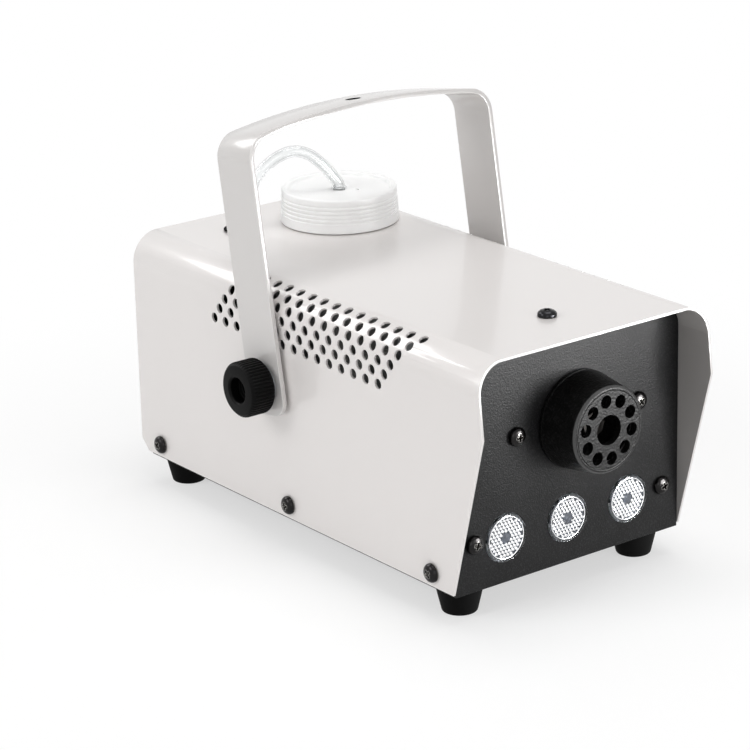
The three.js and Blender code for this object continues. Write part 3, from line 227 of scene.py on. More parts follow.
class CapSizes(bpy.types.PropertyGroup):
    """Sizes of the tank's screw cap."""

    radius: length("Radius", 26.3, "Radius at the skirt")
    top_radius: length("Top radius", 25.4, "Radius under the rim")
    wall: length("Wall", 1.9, "Wall of the skirt")
    roof: length("Roof", 2, "Thickness of the roof")
    recess: length("Recess", 1.5, "How deep the roof lies in the rim")
    rim: length("Rim", 2.6, "Width of the raised rim")
    band: length("Band", 3.4, "Height of the plain band")
    ribs: number("Ribs", 5, "Soft ribs on the skirt")
    rib_depth: length("Rib depth", 0.45, "Depth of the ribs")
    hole: length("Hole", 2.6, "Radius of the hose's hole")
    vent: length("Vent", 0.8, "Radius of the pinhole vent")
    vent_across: length("Vent across", 5.4, "Place of the pinhole to the right of the middle")
    vent_front: length("Vent in front", 6.4, "Place of the pinhole in front of the middle")
    steps: number("Steps", 128, "Facets round the cap")


class HoseSizes(bpy.types.PropertyGroup):
    """Sizes of the feed hose and its grommet."""

    radius: length("Radius", 2.6, "Outer radius of the hose")
    wall: length("Wall", 0.8, "Wall of the hose")
    sides: number("Sides", 32, "Sides of the hose")
    flange: length("Flange", 6, "Radius of the grommet's flange")
    neck: length("Neck", 4.2, "Radius of the grommet's neck")
    thickness: length("Flange thickness", 1.6, "Thickness of the grommet's flanges")


class ScrewSizes(bpy.types.PropertyGroup):
    """Sizes of a pan-head screw."""

    head: length("Head radius", 4, "Radius of the head")
    height: length("Head height", 2.6, "Height of the head")
    brim: length("Brim", 0.5, "Height of the head's straight edge")
    shank: length("Shank radius", 2, "Radius of the shank")
    length: length("Shank length", 8, "Length of the shank")
    slot: length("Cross length", 5.2, "Length of the cross")
    slot_width: length("Cross width", 1.3, "Width of the cross")
    slot_depth: length("Cross depth", 1.6, "Depth of the cross")
    steps: number("Steps", 40, "Facets round the head")


class FootSizes(bpy.types.PropertyGroup):
    """Sizes of a rubber foot."""

    top: length("Top radius", 10, "Radius under the case")
    bottom: length("Bottom radius", 7.2, "Radius on the floor")
    height: length("Height", 12, "Height of the foot")
    edge: length("Edge", 1.0, "Round of the foot's edges")
    dimple: length("Dimple", 4.5, "Radius of the hollow underneath")
    dimple_depth: length("Dimple depth", 2, "Depth of that hollow")
    stem: length("Stem", 3, "Radius of the stem in the floor")
    barb: length("Barb", 4.5, "Radius of the barb inside")


class RearSizes(bpy.types.PropertyGroup):
    """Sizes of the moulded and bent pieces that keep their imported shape."""

    edge: length("Edge", 0.35, "Round of the moulded edges")
    sheet_edge: length("Sheet edge", 0.2, "Round of the powder coat on the chassis's edges")


class FinishColours(bpy.types.PropertyGroup):
    """Colours of the finishes."""

    enamel: colour("Enamel", "E3DFDD", "White stoving enamel of the cover")
    # Painted shade: the cover's inside enamel is greyed for the shade inside the case and the visor's cheeks.
    inside: colour("Inside enamel", "A19E9C", "Thin grey coat on the inside of the cover")
    strap: colour("Handle enamel", "D2CFCD", "Greyer white enamel of the handle")
    # Painted highlight: this lighter enamel is laid on the edges and vent rims for the bright rims that light gives
    # them.
    lip: colour("Enamel lip", "F4F3F2", "Enamel where it gathers on edges and round holes")
    powder: colour("Powder coat", "0D0D0E", "Black textured powder coat of the chassis")
    # Painted highlight: a lighter colour on the tops of the powder coat's grain, where light catches them.
    powder_glint: colour("Powder coat grain", "242425", "Tops of the powder coat's grain")
    nozzle: colour("Nozzle plastic", "050505", "Black textured nylon of the nozzle")
    # Painted highlights: lighter grain tops, and a grey front chamfer where light catches the nozzle.
    nozzle_glint: colour("Nozzle grain", "1E1E1E", "Tops of the nozzle's grain")
    nozzle_highlight: colour("Nozzle edge", "4C4C4C", "Rubbed edges of the nozzle")
    knob: colour("Knob plastic", "030303", "Black phenolic plastic of the knobs")
    plastic: colour("Black plastic", "141415", "Black plastic of the rear pieces")
    rubber: colour("Rubber", "030303", "Black rubber")
    nickel: colour("Dark nickel", "2A2929", "Smoked nickel plating of the screws")
    # Painted highlight: a bright colour on the screws' sharp edges for the glints on their rims.
    nickel_highlight: colour("Nickel edge", "BAB8B4", "Plating worn bright on the screws' edges")
    oxide: colour("Black oxide", "2A2A2C", "Blackened steel")
    zinc: colour("Zinc", "A9ACB0", "Bright zinc plating")
    aluminium: colour("Aluminium", "B4B6B8", "Die-cast aluminium")
    brass: colour("Brass", "B99A52", "Turned brass")
    # Painted shade: the outlet pipe's brass is darkened for the shade seen through the nozzle's holes.
    outlet_shade: colour("Blackened brass", "15110C", "Brass blackened by heat")
    fibre: colour("Glass fibre", "D9D4C4", "Woven glass fibre lagging")
    nylon: colour("Nylon", "E6E6E2", "Natural white nylon")
    milky: colour("Polythene", "FBFBFA", "Natural blow-moulded polythene")
    silicone: colour("Silicone", "FAFBFB", "Clear silicone tube")
    silicone_edge: colour("Silicone edge", "8A8D8F", "The tube's wall seen edge on")
    acrylic: colour("Acrylic", "FAFCFF", "Clear moulded acrylic")
    acrylic_edge: colour("Acrylic edge", "DDE3EA", "The lens's rim seen edge on")
    cup: colour("Lens cup", "F2F2F2", "White lens cup")
    cell: colour("Lens cell", "FAFBFD", "Silvered cells of the lens")
    # Painted shade: the plate under the lens cells is dark so that dark lines show between them.
    cell_gap: colour("Lens gap", "454A53", "Dark lines between the cells")
    die: colour("Die", "4A5260", "Dark diode under clear resin")
    board: colour("Board", "1F5A3A", "Green circuit board")
    copper_pad: colour("Pads", "B98A4A", "Tinned pads on the board")
    sheath: colour("Sheath", "55575A", "Grey mains sheath")
    rocker: colour("Rocker", "B3231C", "Red rocker")
    floor: colour("Floor", "FFFFFF", "Plain pale floor")


class StudioSettings(bpy.types.PropertyGroup):
    """Camera, lamps and floor."""

    camera: bpy.props.FloatVectorProperty(
        name="Camera", description="Place of the camera", default=(-0.7383, -0.952, 0.4825), subtype="TRANSLATION"
    )
    target: bpy.props.FloatVectorProperty(
        name="Target", description="Point that the camera looks at", default=(-0.0196, 0, 0.0699), subtype="TRANSLATION"
    )
    roll: degrees("Roll", -1.41, "Turn of the camera about its view")
    lens: length("Lens", 144.7, "Focal length")
    floor: length("Floor", 8000, "Side of the floor")
    near: length("Near floor", 140, "Radius of the floor that shows the whole shadow")
    far: length("Far floor", 360, "Radius past which the floor is plain white")
    shadow: share("Shadow", 0.42, "How strongly the near floor shows the object's shadow")
    ambient: share("Ambient", 0.42, "Strength of the even light")
    key: bpy.props.FloatProperty(name="Key", description="Power of the key lamp", default=12, subtype="POWER")
    top: bpy.props.FloatProperty(name="Top", description="Power of the top lamp", default=20, subtype="POWER")
    sheen: bpy.props.FloatProperty(name="Sheen", description="Power of the lamp in the panel's gloss", default=1.8, subtype="POWER")
    band: bpy.props.FloatProperty(name="Band", description="Power of the lamp in the bends' gloss", default=11, subtype="POWER")
    front: bpy.props.FloatProperty(name="Front", description="Power of the front lamp", default=6, subtype="POWER")
    fill: bpy.props.FloatProperty(name="Fill", description="Power of the fill lamp", default=4, subtype="POWER")


GROUPS = {
    "fog_cover": CoverSizes,
    "fog_handle": HandleSizes,
    "fog_clamp": ClampSizes,
    "fog_nozzle": NozzleSizes,
    "fog_light": LightSizes,
    "fog_cap": CapSizes,
    "fog_hose": HoseSizes,
    "fog_screw": ScrewSizes,
    "fog_foot": FootSizes,
    "fog_rear": RearSizes,
    "fog_colours": FinishColours,
    "fog_studio": StudioSettings,
}


# Mesh helpers


WELD = 1e-6
CREASE = math.radians(35)
FLAT = 0.99999
BEVEL = {"affect": "EDGES", "profile": 0.5, "material": -1, "clamp_overlap": True}


def all_of(bm):
    """Every element of a bmesh."""
    return [*bm.verts, *bm.edges, *bm.faces]


def ring(x, y, radius, sides, turn=0.0):
    """Points of a circle."""
    angles = [turn + 2 * math.pi * i / sides for i in range(sides)]
    return [(x + radius * math.cos(a), y + radius * math.sin(a)) for a in angles]


def rounded_box(x, y, width, height, radius, steps=6):
    """Points of a rectangle with rounded corners."""
    points = []
    for corner, (sx, sy) in enumerate([(1, -1), (1, 1), (-1, 1), (-1, -1)]):
        cx = x + sx * (width / 2 - radius)
        cy = y + sy * (height / 2 - radius)
        for i in range(steps + 1):
            angle = (corner - 1 + i / steps) * QUARTER
            points.append((cx + radius * math.cos(angle), cy + radius * math.sin(angle)))
    return points


def softened(points, radius, steps=4):
    """A profile with each inner corner rounded."""
    path = [Vector(p) for p in points]
    smooth = [path[0]]
    for before, corner, after in zip(path, path[1:], path[2:]):
        reach = min(radius, (before - corner).length * 0.45, (after - corner).length * 0.45)
        start = corner + (before - corner).normalized() * reach
        end = corner + (after - corner).normalized() * reach
        for i in range(steps + 1):
            t = i / steps
            smooth.append(start * (1 - t) ** 2 + corner * 2 * t * (1 - t) + end * t**2)
    return [*smooth, path[-1]]


def turned(profile, steps):
    """A profile of (radius, height) spun about Z."""
    bm = bmesh.new()
    verts = [bm.verts.new((radius, 0, height)) for radius, height in profile]
    edges = [bm.edges.new(pair) for pair in zip(verts, verts[1:])]
    if profile[0][0] > WELD and profile[-1][0] > WELD:
        edges.append(bm.edges.new((verts[-1], verts[0])))
    bmesh.ops.spin(bm, geom=verts + edges, cent=(0, 0, 0), axis=(0, 0, 1), angle=2 * math.pi, steps=steps, use_merge=True)
    bmesh.ops.remove_doubles(bm, verts=bm.verts, dist=WELD)
    bmesh.ops.recalc_face_normals(bm, faces=bm.faces)
    return bm


def flat_shape(loops, thickness=0.0, edge=0.0):
    """A flat outline with holes, filled and raised to a plate between Z 0 and its thickness."""
    curve = bpy.data.curves.new("outline", "CURVE")
    curve.dimensions = "2D"
    curve.fill_mode = "BOTH" if thickness else "FRONT"
    curve.extrude = thickness / 2
    for loop in loops:
        spline = curve.splines.new("POLY")
        spline.points.add(len(loop) - 1)
        for point, (x, y) in zip(spline.points, loop):
            point.co = (x, y, 0, 1)
        spline.use_cyclic_u = True
    carrier = bpy.data.objects.new("outline", curve)
    bm = bmesh.new()
    mesh = bpy.data.meshes.new_from_object(carrier)
    bm.from_mesh(mesh)
    bpy.data.objects.remove(carrier)
    bpy.data.meshes.remove(mesh)
    bpy.data.curves.remove(curve)
    bmesh.ops.translate(bm, verts=bm.verts, vec=(0, 0, thickness / 2))
    bmesh.ops.remove_doubles(bm, verts=bm.verts, dist=WELD)
    bmesh.ops.recalc_face_normals(bm, faces=bm.faces)
    if edge:
        rims = [e for e in bm.edges if e.is_manifold and e.calc_face_angle() > math.radians(60)]
        bmesh.ops.bevel(bm, geom=rims, offset=edge, segments=2, **BEVEL)
    return bm


def cut_lines(bm, places, axis):
    """Cuts a mesh across at each place along X or Y."""
    normal = (1, 0, 0) if axis == "x" else (0, 1, 0)
    for place in places:
        bmesh.ops.bisect_plane(bm, geom=all_of(bm), dist=WELD, plane_co=Vector(normal) * place, plane_no=normal)


def trim(bm, point, normal):
    """Cuts a mesh off beyond a plane."""
    bmesh.ops.bisect_plane(bm, geom=all_of(bm), dist=WELD, plane_co=point, plane_no=normal, clear_outer=True)


def as_object(name, bm, material, crease=CREASE):
    """A mesh object with smooth faces and sharp creases."""
    mesh = bpy.data.meshes.new(name)
    bm.to_mesh(mesh)
    bm.free()
    mesh.materials.append(material)
    obj = bpy.data.objects.new(name, mesh)
    bpy.context.scene.collection.objects.link(obj)
    shade(obj, crease)
    return obj


def shade(obj, crease=CREASE):
    """Smooth faces with sharp creases."""
    obj.data.polygons.foreach_set("use_smooth", [True] * len(obj.data.polygons))
    obj.data.set_sharp_from_angle(angle=crease)


def even(obj, crease=CREASE):
    """Joins coplanar faces, and shades the level and upright ones flat beside their rounded edges."""
    bm = bmesh.new()
    bm.from_mesh(obj.data)
    bmesh.ops.dissolve_limit(bm, angle_limit=math.radians(0.2), verts=bm.verts, edges=bm.edges)
    bm.to_mesh(obj.data)
    bm.free()
    shade(obj, crease)
    normals = [corner.vector.copy() for corner in obj.data.corner_normals]
    for face in obj.data.polygons:
        if max(abs(part) for part in face.normal) > FLAT:
            for corner in face.loop_indices:
                normals[corner] = face.normal
    obj.data.normals_split_custom_set(normals)


def settle(obj, crease=CREASE):
    """Turns an object's modifiers into its mesh."""
    graph = bpy.context.evaluated_depsgraph_get()
    mesh = bpy.data.meshes.new_from_object(obj.evaluated_get(graph))
    obj.modifiers.clear()
    obj.data = mesh
    shade(obj, crease)


def carve(obj, *cutters):
    """Cuts the cutters' shapes out of an object."""
    for cutter in cutters:
        mesh = bpy.data.meshes.new("cutter")
        cutter.to_mesh(mesh)
        cutter.free()
        tool = bpy.data.objects.new("cutter", mesh)
        bpy.context.scene.collection.objects.link(tool)
        cut = obj.modifiers.new("cut", "BOOLEAN")
        cut.object = tool
        cut.solver = "EXACT"
        settle(obj)
        bpy.data.objects.remove(tool)
        bpy.data.meshes.remove(mesh)


def stand(obj, body, slot, *nodes):
    """Puts a finished piece on its body, in place of its CAD nodes."""
    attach(obj, body)
    if nodes:
        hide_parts(*nodes)


def middle(node):
    """The middle of a CAD node's box."""
    low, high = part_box(node)
    return (low + high) / 2


def body_of(node):
    """The body that a CAD node rides on."""
    return frame["nodes"][node].parent.name.split(":")[-1]


# Finishes


def add_node(tree, kind, inputs=None, **settings):
    """Adds a node with its settings, then its values and links."""
    node = tree.nodes.new("ShaderNode" + kind)
    for name, value in settings.items():
        setattr(node, name, value)
    for key, value in (inputs or {}).items():
        if isinstance(value, bpy.types.NodeSocket):
            tree.links.new(value, node.inputs[key])
        else:
            node.inputs[key].default_value = value
    return node


def paint(values, factor=1.0):
    """A colour with alpha, made lighter or darker."""
    return (*[min(1.0, c * factor) for c in values], 1)


def finish(name, sockets):
    """A material whose Principled shader has these sockets."""
    made = bpy.data.materials.get(name)
    if made:
        return made, None
    made = bpy.data.materials.new(name)
    made.use_nodes = True
    tree = made.node_tree
    tree.nodes.clear()
    shader = add_node(tree, "BsdfPrincipled", sockets)
    add_node(tree, "OutputMaterial", {"Surface": shader.outputs["BSDF"]})
    return made, shader


def place_of(tree, scale=(1, 1, 1)):
    """Object coordinates through a mapping."""
    coordinates = add_node(tree, "TexCoord")
    return add_node(tree, "Mapping", {"Vector": coordinates.outputs["Object"], "Scale": scale}).outputs["Vector"]


def mottled(tree, where, base, size, spread, detail=3.0):
    """A colour that varies softly over patches of a size in metres."""
    noise = add_node(tree, "TexNoise", {"Vector": where, "Scale": 1 / size, "Detail": detail})
    ramp = add_node(
        tree, "Mix", {0: noise.outputs["Fac"], 6: paint(base, 1 - spread), 7: paint(base, 1 + spread)}, data_type="RGBA"
    )
    return ramp.outputs[2]


def varied(tree, where, size, low, high, detail=2.0):
    """A number that varies between two values over patches of a size in metres."""
    noise = add_node(tree, "TexNoise", {"Vector": where, "Scale": 1 / size, "Detail": detail})
    span = {"Value": noise.outputs["Fac"], "From Min": 0.3, "From Max": 0.7, "To Min": low, "To Max": high}
    return add_node(tree, "MapRange", span).outputs["Result"]


def relief(tree, height, depth, strength=1.0, under=None):
    """A bump of a depth in metres."""
    inputs = {"Height": height, "Distance": depth, "Strength": strength}
    if under:
        inputs["Normal"] = under
    return add_node(tree, "Bump", inputs).outputs["Normal"]


def edges_of(tree, width):
    """1 on sharp edges, down to 0 at a width in metres from them."""
    rounded = add_node(tree, "Bevel", {"Radius": width}, samples=6).outputs["Normal"]
    plain = add_node(tree, "NewGeometry").outputs["Normal"]
    turn = add_node(tree, "VectorMath", {0: rounded, 1: plain}, operation="DOT_PRODUCT").outputs["Value"]
    span = {"Value": turn, "From Min": 0.98, "From Max": 0.8, "To Min": 0.0, "To Max": 1.0}
    return add_node(tree, "MapRange", span).outputs["Result"]


def blended(tree, factor, first, second):
    """One colour turned into another by a factor."""
    return add_node(tree, "Mix", {0: factor, 6: first, 7: second}, data_type="RGBA").outputs[2]


def coated(name, base, sockets, patch, spread, gloss, grain, depth, detail=2.0, stretch=(1, 1, 1), edge=None, glint=None):
    """A finish with mottled colour, varied gloss and a fine grain.

    edge is a painted highlight: a colour, and a width for its sharp edges or the name of an attribute that marks
    where it is painted; speck is a colour painted on the tops of its grain as a painted highlight."""
    made, shader = finish(name, sockets)
    if shader:
        tree = made.node_tree
        where = place_of(tree, stretch)
        noise = add_node(tree, "TexNoise", {"Vector": where, "Scale": 1 / grain, "Detail": detail}).outputs["Fac"]
        tint = mottled(tree, where, base, patch, spread)
        # Painted highlight: the tops of the grain get a lighter colour.
        if glint:
            glint_span = {"Value": noise, "From Min": 0.5, "From Max": 0.72, "To Min": 0.0, "To Max": 1.0}
            tint = blended(tree, add_node(tree, "MapRange", glint_span).outputs["Result"], tint, paint(glint))
        # Painted highlight: the sharp edges, or the marked places, get a lighter colour.
        if edge:
            highlight_colour, place = edge
            if isinstance(place, str):
                highlight_mask = add_node(tree, "Attribute", attribute_name=place).outputs["Fac"]
            else:
                highlight_mask = edges_of(tree, place)
            tint = blended(tree, highlight_mask, tint, paint(highlight_colour))
        tree.links.new(tint, shader.inputs["Base Color"])
        tree.links.new(varied(tree, where, patch, *gloss), shader.inputs["Roughness"])
        tree.links.new(relief(tree, noise, depth), shader.inputs["Normal"])
    return made


def stoving_enamel(colours, name="stoving_enamel_gloss", base=None):
    """White stoving enamel on steel: glossy, with the faint orange peel of sprayed paint, and its sharp edges painted
    lighter as a painted highlight.
    """
    return coated(
        name, base or colours.enamel, {"IOR": 1.5, "Coat Weight": 0.5, "Coat Roughness": 0.1},
        patch=0.05, spread=0.012, gloss=(0.28, 0.34), grain=0.0022, depth=0.00001, edge=(colours.lip, 0.0006),
    )


def shaded_inside_enamel(colours):
    """The cover's inside: the same enamel greyed as painted shade, for the shade that falls inside the case and its
    visor's cheeks.
    """
    return stoving_enamel(colours, "stoving_enamel_thin_coat", colours.inside)


def strap_enamel(colours):
    """The handle's enamel, a shade greyer than the cover's."""
    return stoving_enamel(colours, "stoving_enamel_strap", colours.strap)


def powder_coat(colours):
    """Black epoxy powder coat with a fine leatherette grain, the tops of its grain painted lighter as a painted
    highlight.
    """
    return coated(
        "powder_coat_fine_texture", colours.powder, {"IOR": 1.5, "Specular IOR Level": 0.16}, patch=0.02, spread=0.2,
        gloss=(0.34, 0.41), grain=0.0006, depth=0.00012, glint=colours.powder_glint,
    )


def nozzle_plastic(colours):
    """Black glass-filled nylon with a spark-eroded mould texture; its grain tops and front chamfer are painted grey as
    painted highlights.
    """
    return coated(
        "glass_filled_nylon_moulded", colours.nozzle, {"IOR": 1.53, "Specular IOR Level": 0.16}, patch=0.004,
        spread=0.25, gloss=(0.3, 0.4), grain=0.0009, depth=0.00025, edge=(colours.nozzle_highlight, "rubbed"),
        glint=colours.nozzle_glint,
    )


def knob_plastic(colours):
    """Black phenolic plastic, satin from the mould."""
    return coated(
        "phenolic_plastic_satin", colours.knob, {"IOR": 1.6, "Specular IOR Level": 0.06}, patch=0.006, spread=0.15,
        gloss=(0.4, 0.5), grain=0.0004, depth=0.00002,
    )


def rear_plastic(colours):
    """Black polycarbonate, satin."""
    return coated(
        "polycarbonate_black_satin", colours.plastic, {"IOR": 1.58}, patch=0.008, spread=0.12,
        gloss=(0.32, 0.42), grain=0.0005, depth=0.000015,
    )


def rubber(colours):
    """Black nitrile rubber, dull with a bloom."""
    return coated(
        "nitrile_rubber_moulded", colours.rubber, {"IOR": 1.52, "Specular IOR Level": 0.08}, patch=0.01, spread=0.2,
        gloss=(0.62, 0.78), grain=0.0005, depth=0.00003,
    )


def dark_nickel(colours):
    """Smoked nickel plating on the screws: dark, with a painted highlight on the edges."""
    return coated(
        "black_nickel_plated_steel", colours.nickel, {"Metallic": 1.0}, patch=0.002, spread=0.12,
        gloss=(0.16, 0.26), grain=0.0008, depth=0.000004, edge=(colours.nickel_highlight, 0.0007),
    )


def black_oxide(colours):
    """Blackened steel with an oily gloss."""
    return coated(
        "black_oxide_steel", colours.oxide, {"Metallic": 1.0}, patch=0.002, spread=0.15,
        gloss=(0.14, 0.24), grain=0.0008, depth=0.000004,
    )


def zinc(colours):
    """Bright zinc plating with faint rolling marks."""
    return coated(
        "zinc_plated_steel_rolled", colours.zinc, {"Metallic": 1.0}, patch=0.006, spread=0.1,
        gloss=(0.28, 0.42), grain=0.0015, depth=0.00001, stretch=(1, 6, 1),
    )


def aluminium(colours):
    """Die-cast aluminium, matt and slightly pitted."""
    return coated(
        "aluminium_die_cast", colours.aluminium, {"Metallic": 1.0}, patch=0.008, spread=0.1,
        gloss=(0.45, 0.6), grain=0.001, depth=0.00006,
    )


def brass(colours):
    """Turned brass with fine tool rings."""
    return coated(
        "brass_turned", colours.brass, {"Metallic": 1.0}, patch=0.006, spread=0.1,
        gloss=(0.25, 0.38), grain=0.0012, depth=0.00001, stretch=(1, 1, 8),
    )


def shaded_brass(colours):
    """Brass darkened as painted shade, so that the nozzle's holes show dark."""
    return coated(
        "brass_heat_blackened", colours.outlet_shade, {"Metallic": 0.6}, patch=0.004, spread=0.3,
        gloss=(0.45, 0.6), grain=0.0012, depth=0.00002,
    )


def nylon(colours):
    """Natural nylon, slightly see-through."""
    return coated(
        "nylon_natural_moulded", colours.nylon,
        {"IOR": 1.53, "Subsurface Weight": 0.3, "Subsurface Radius": (1, 1, 1), "Subsurface Scale": 0.002},
        patch=0.01, spread=0.03, gloss=(0.38, 0.48), grain=0.0008, depth=0.00001,
    )


def polythene(colours):
    """Natural polythene, milky and waxy, lit through from behind."""
    return coated(
        "polythene_natural_moulded", colours.milky,
        {"IOR": 1.51, "Subsurface Weight": 0.5, "Subsurface Radius": (1, 1, 1), "Subsurface Scale": 0.0015},
        patch=0.015, spread=0.02, gloss=(0.32, 0.42), grain=0.0012, depth=0.00002,
    )


def clear(name, base, edge, ior):
    """A clear plastic whose walls look denser where they are seen edge on."""
    made, shader = finish(name, {"IOR": ior, "Transmission Weight": 1.0, "Coat Weight": 1.0, "Coat Roughness": 0.03})
    if shader:
        tree = made.node_tree
        where = place_of(tree)
        facing = add_node(tree, "LayerWeight", {"Blend": 0.25}).outputs["Facing"]
        shades = {0: facing, 6: paint(base), 7: paint(edge)}
        tree.links.new(add_node(tree, "Mix", shades, data_type="RGBA").outputs[2], shader.inputs["Base Color"])
        tree.links.new(varied(tree, where, 0.02, 0.01, 0.03), shader.inputs["Roughness"])
    return made


def silicone(colours):
    """Clear silicone tube, drawn with a low IOR: a thin wall bends the view behind it very little."""
    return clear("silicone_extruded_clear", colours.silicone, colours.silicone_edge, 1.08)


def acrylic(colours):
    """Clear moulded acrylic, drawn with a low IOR as the tube is, because its rim is thin."""
    return clear("acrylic_moulded_clear", colours.acrylic, colours.acrylic_edge, 1.08)


def lens_cell(colours):
    """Acrylic cells with a silver film behind them: they look like bright metal."""
    return coated(
        "acrylic_cell_silvered", colours.cell, {"Metallic": 1.0}, patch=0.0035,
        spread=0.12, gloss=(0.12, 0.2), grain=0.0015, depth=0.00001,
    )


def lens_shade_plate(colours):
    """The plate under the cells, coloured dark as painted shade for the dark lines that the clear acrylic shows between
    its cells.
    """
    return coated(
        "acrylic_cell_groove", colours.cell_gap, {"IOR": 1.49}, patch=0.004, spread=0.95,
        gloss=(0.1, 0.2), grain=0.001, depth=0.00001,
    )


def lens_cup(colours):
    """White polycarbonate cup, glossy, that throws the light forwards."""
    return coated(
        "polycarbonate_white_gloss", colours.cup, {"IOR": 1.58}, patch=0.004, spread=0.02,
        gloss=(0.2, 0.3), grain=0.001, depth=0.00001,
    )


def diode_die(colours):
    """Dark diode die under clear resin."""
    return coated(
        "diode_die_resin", colours.die, {"IOR": 1.53, "Coat Weight": 1.0, "Coat Roughness": 0.05}, patch=0.0016,
        spread=0.95, gloss=(0.15, 0.3), grain=0.0008, depth=0.00002,
    )


def red_rocker(colours):
    """Red polycarbonate, glossy and lit through."""
    return coated(
        "polycarbonate_red_gloss", colours.rocker,
        {"IOR": 1.58, "Subsurface Weight": 0.2, "Subsurface Radius": (1, 1, 1), "Subsurface Scale": 0.001},
        patch=0.01, spread=0.05, gloss=(0.18, 0.26), grain=0.001, depth=0.00001,
    )


def glass_fibre(colours):
    """Plain-woven glass fibre lagging, matt with a soft sheen."""
    made, shader = finish("glass_fibre_woven", {"Sheen Weight": 0.3, "Sheen Roughness": 0.5})
    if shader:
        tree = made.node_tree
        where = place_of(tree)
        threads = [
            add_node(
                tree, "TexWave", {"Vector": where, "Scale": 1 / (0.0018 * 2 * math.pi), "Distortion": 1.0, "Detail": 1.0},
                bands_direction=way,
            ).outputs["Fac"]
            for way in ("Y", "DIAGONAL")
        ]
        weave = add_node(tree, "Math", {0: threads[0], 1: threads[1]}, operation="MAXIMUM").outputs[0]
        shades = {0: weave, 6: paint(colours.fibre, 0.72), 7: paint(colours.fibre, 1.05)}
        tint = add_node(tree, "Mix", shades, data_type="RGBA")
        tree.links.new(tint.outputs[2], shader.inputs["Base Color"])
        tree.links.new(varied(tree, where, 0.004, 0.8, 0.95), shader.inputs["Roughness"])
        tree.links.new(relief(tree, weave, 0.0003), shader.inputs["Normal"])
    return made


def circuit_board(colours):
    """Epoxy glass board with green resist, traces under it and tinned pads."""
    made, shader = finish("epoxy_glass_board_resist", {"IOR": 1.55, "Coat Weight": 0.4, "Coat Roughness": 0.2})
    if shader:
        tree = made.node_tree
        where = place_of(tree)
        tracks = add_node(tree, "TexBrick", {
            "Vector": where, "Scale": 1 / 0.006, "Mortar Size": 0.05, "Color1": paint(colours.board),
            "Color2": paint(colours.board, 0.85), "Mortar": paint(colours.board, 1.5),
        })
        spots = add_node(tree, "TexVoronoi", {"Vector": where, "Scale": 1 / 0.005, "Randomness": 0.3})
        pad = add_node(tree, "Math", {0: spots.outputs["Distance"], 1: 0.16}, operation="LESS_THAN").outputs[0]
        shades = {0: pad, 6: tracks.outputs["Color"], 7: paint(colours.copper_pad)}
        tint = add_node(tree, "Mix", shades, data_type="RGBA")
        tree.links.new(tint.outputs[2], shader.inputs["Base Color"])
        tree.links.new(varied(tree, where, 0.01, 0.35, 0.5), shader.inputs["Roughness"])
        tree.links.new(relief(tree, tracks.outputs["Fac"], 0.00004), shader.inputs["Normal"])
    return made


def cable_sheath(colours):
    """Grey plasticised sheath, satin."""
    return coated(
        "pvc_sheath_extruded", colours.sheath, {"IOR": 1.54}, patch=0.01, spread=0.08,
        gloss=(0.42, 0.52), grain=0.001, depth=0.00001,
    )


SLOT_FINISHES = {
    "white_enamel": stoving_enamel,
    "black_powder_coat": powder_coat,
    "black_rubber": rubber,
    "dark_nickel": dark_nickel,
    "black_steel": black_oxide,
    "black_plastic": rear_plastic,
    "red_plastic": red_rocker,
    "zinc_steel": zinc,
    "white_nylon": nylon,
    "cast_aluminium": aluminium,
    "glass_fibre": glass_fibre,
    "brass": brass,
    "milky_plastic": polythene,
    "clear_silicone": silicone,
    "green_board": circuit_board,
    "grey_lead": cable_sheath,
}


# Pieces


def roll_cover(point, half_top, bend, height):
    """Takes a point of the flat sheet to its place on the bent cover."""
    side = 1 if point.x > 0 else -1
    away = abs(point.x)
    arc = bend * QUARTER
    if away <= half_top:
        return Vector((point.x, point.y, height))
    if away <= half_top + arc:
        angle = (away - half_top) / bend
        across = half_top + bend * math.sin(angle)
        return Vector((side * across, point.y, height - bend + bend * math.cos(angle)))
    return Vector((side * (half_top + bend), point.y, height - bend - (away - half_top - arc)))


def cover_loops(sizes, high, low, unrolled):
    """The flat sheet's outline and holes. unrolled gives a height's place on the sheet."""
    edge = unrolled(low.z)
    loops = [[(-edge, low.y), (edge, low.y), (edge, high.y), (-edge, high.y)]]
    cap = middle("tank_cap")
    grommet = middle("hose_grommet")
    screw = middle("top_screw")
    loops.append(ring(cap.x, cap.y, sizes.neck_hole, 72))
    loops.append(ring(grommet.x, grommet.y, sizes.grommet_hole, 32))
    loops.append(ring(screw.x, screw.y, sizes.screw_hole, 20))
    for word, side in SIDES.items():
        pivot = middle("clamp_washer_" + word)
        loops.append(ring(side * unrolled(pivot.z), pivot.y, sizes.stud_hole, 24))
        for i in range(3):
            screw = middle(f"side_screw_{word}_{i + 1}")
            loops.append(ring(side * unrolled(screw.z), screw.y, sizes.screw_hole, 20))
        for row in range(sizes.vent_rows):
            place = side * unrolled(sizes.vent_low + row * sizes.vent_rise)
            for column in range(sizes.vent_columns):
                y = sizes.vent_rear - (row / 2 + column) * sizes.vent_pitch
                loops.append(ring(place, y, sizes.vent, sizes.vent_sides))
    return loops


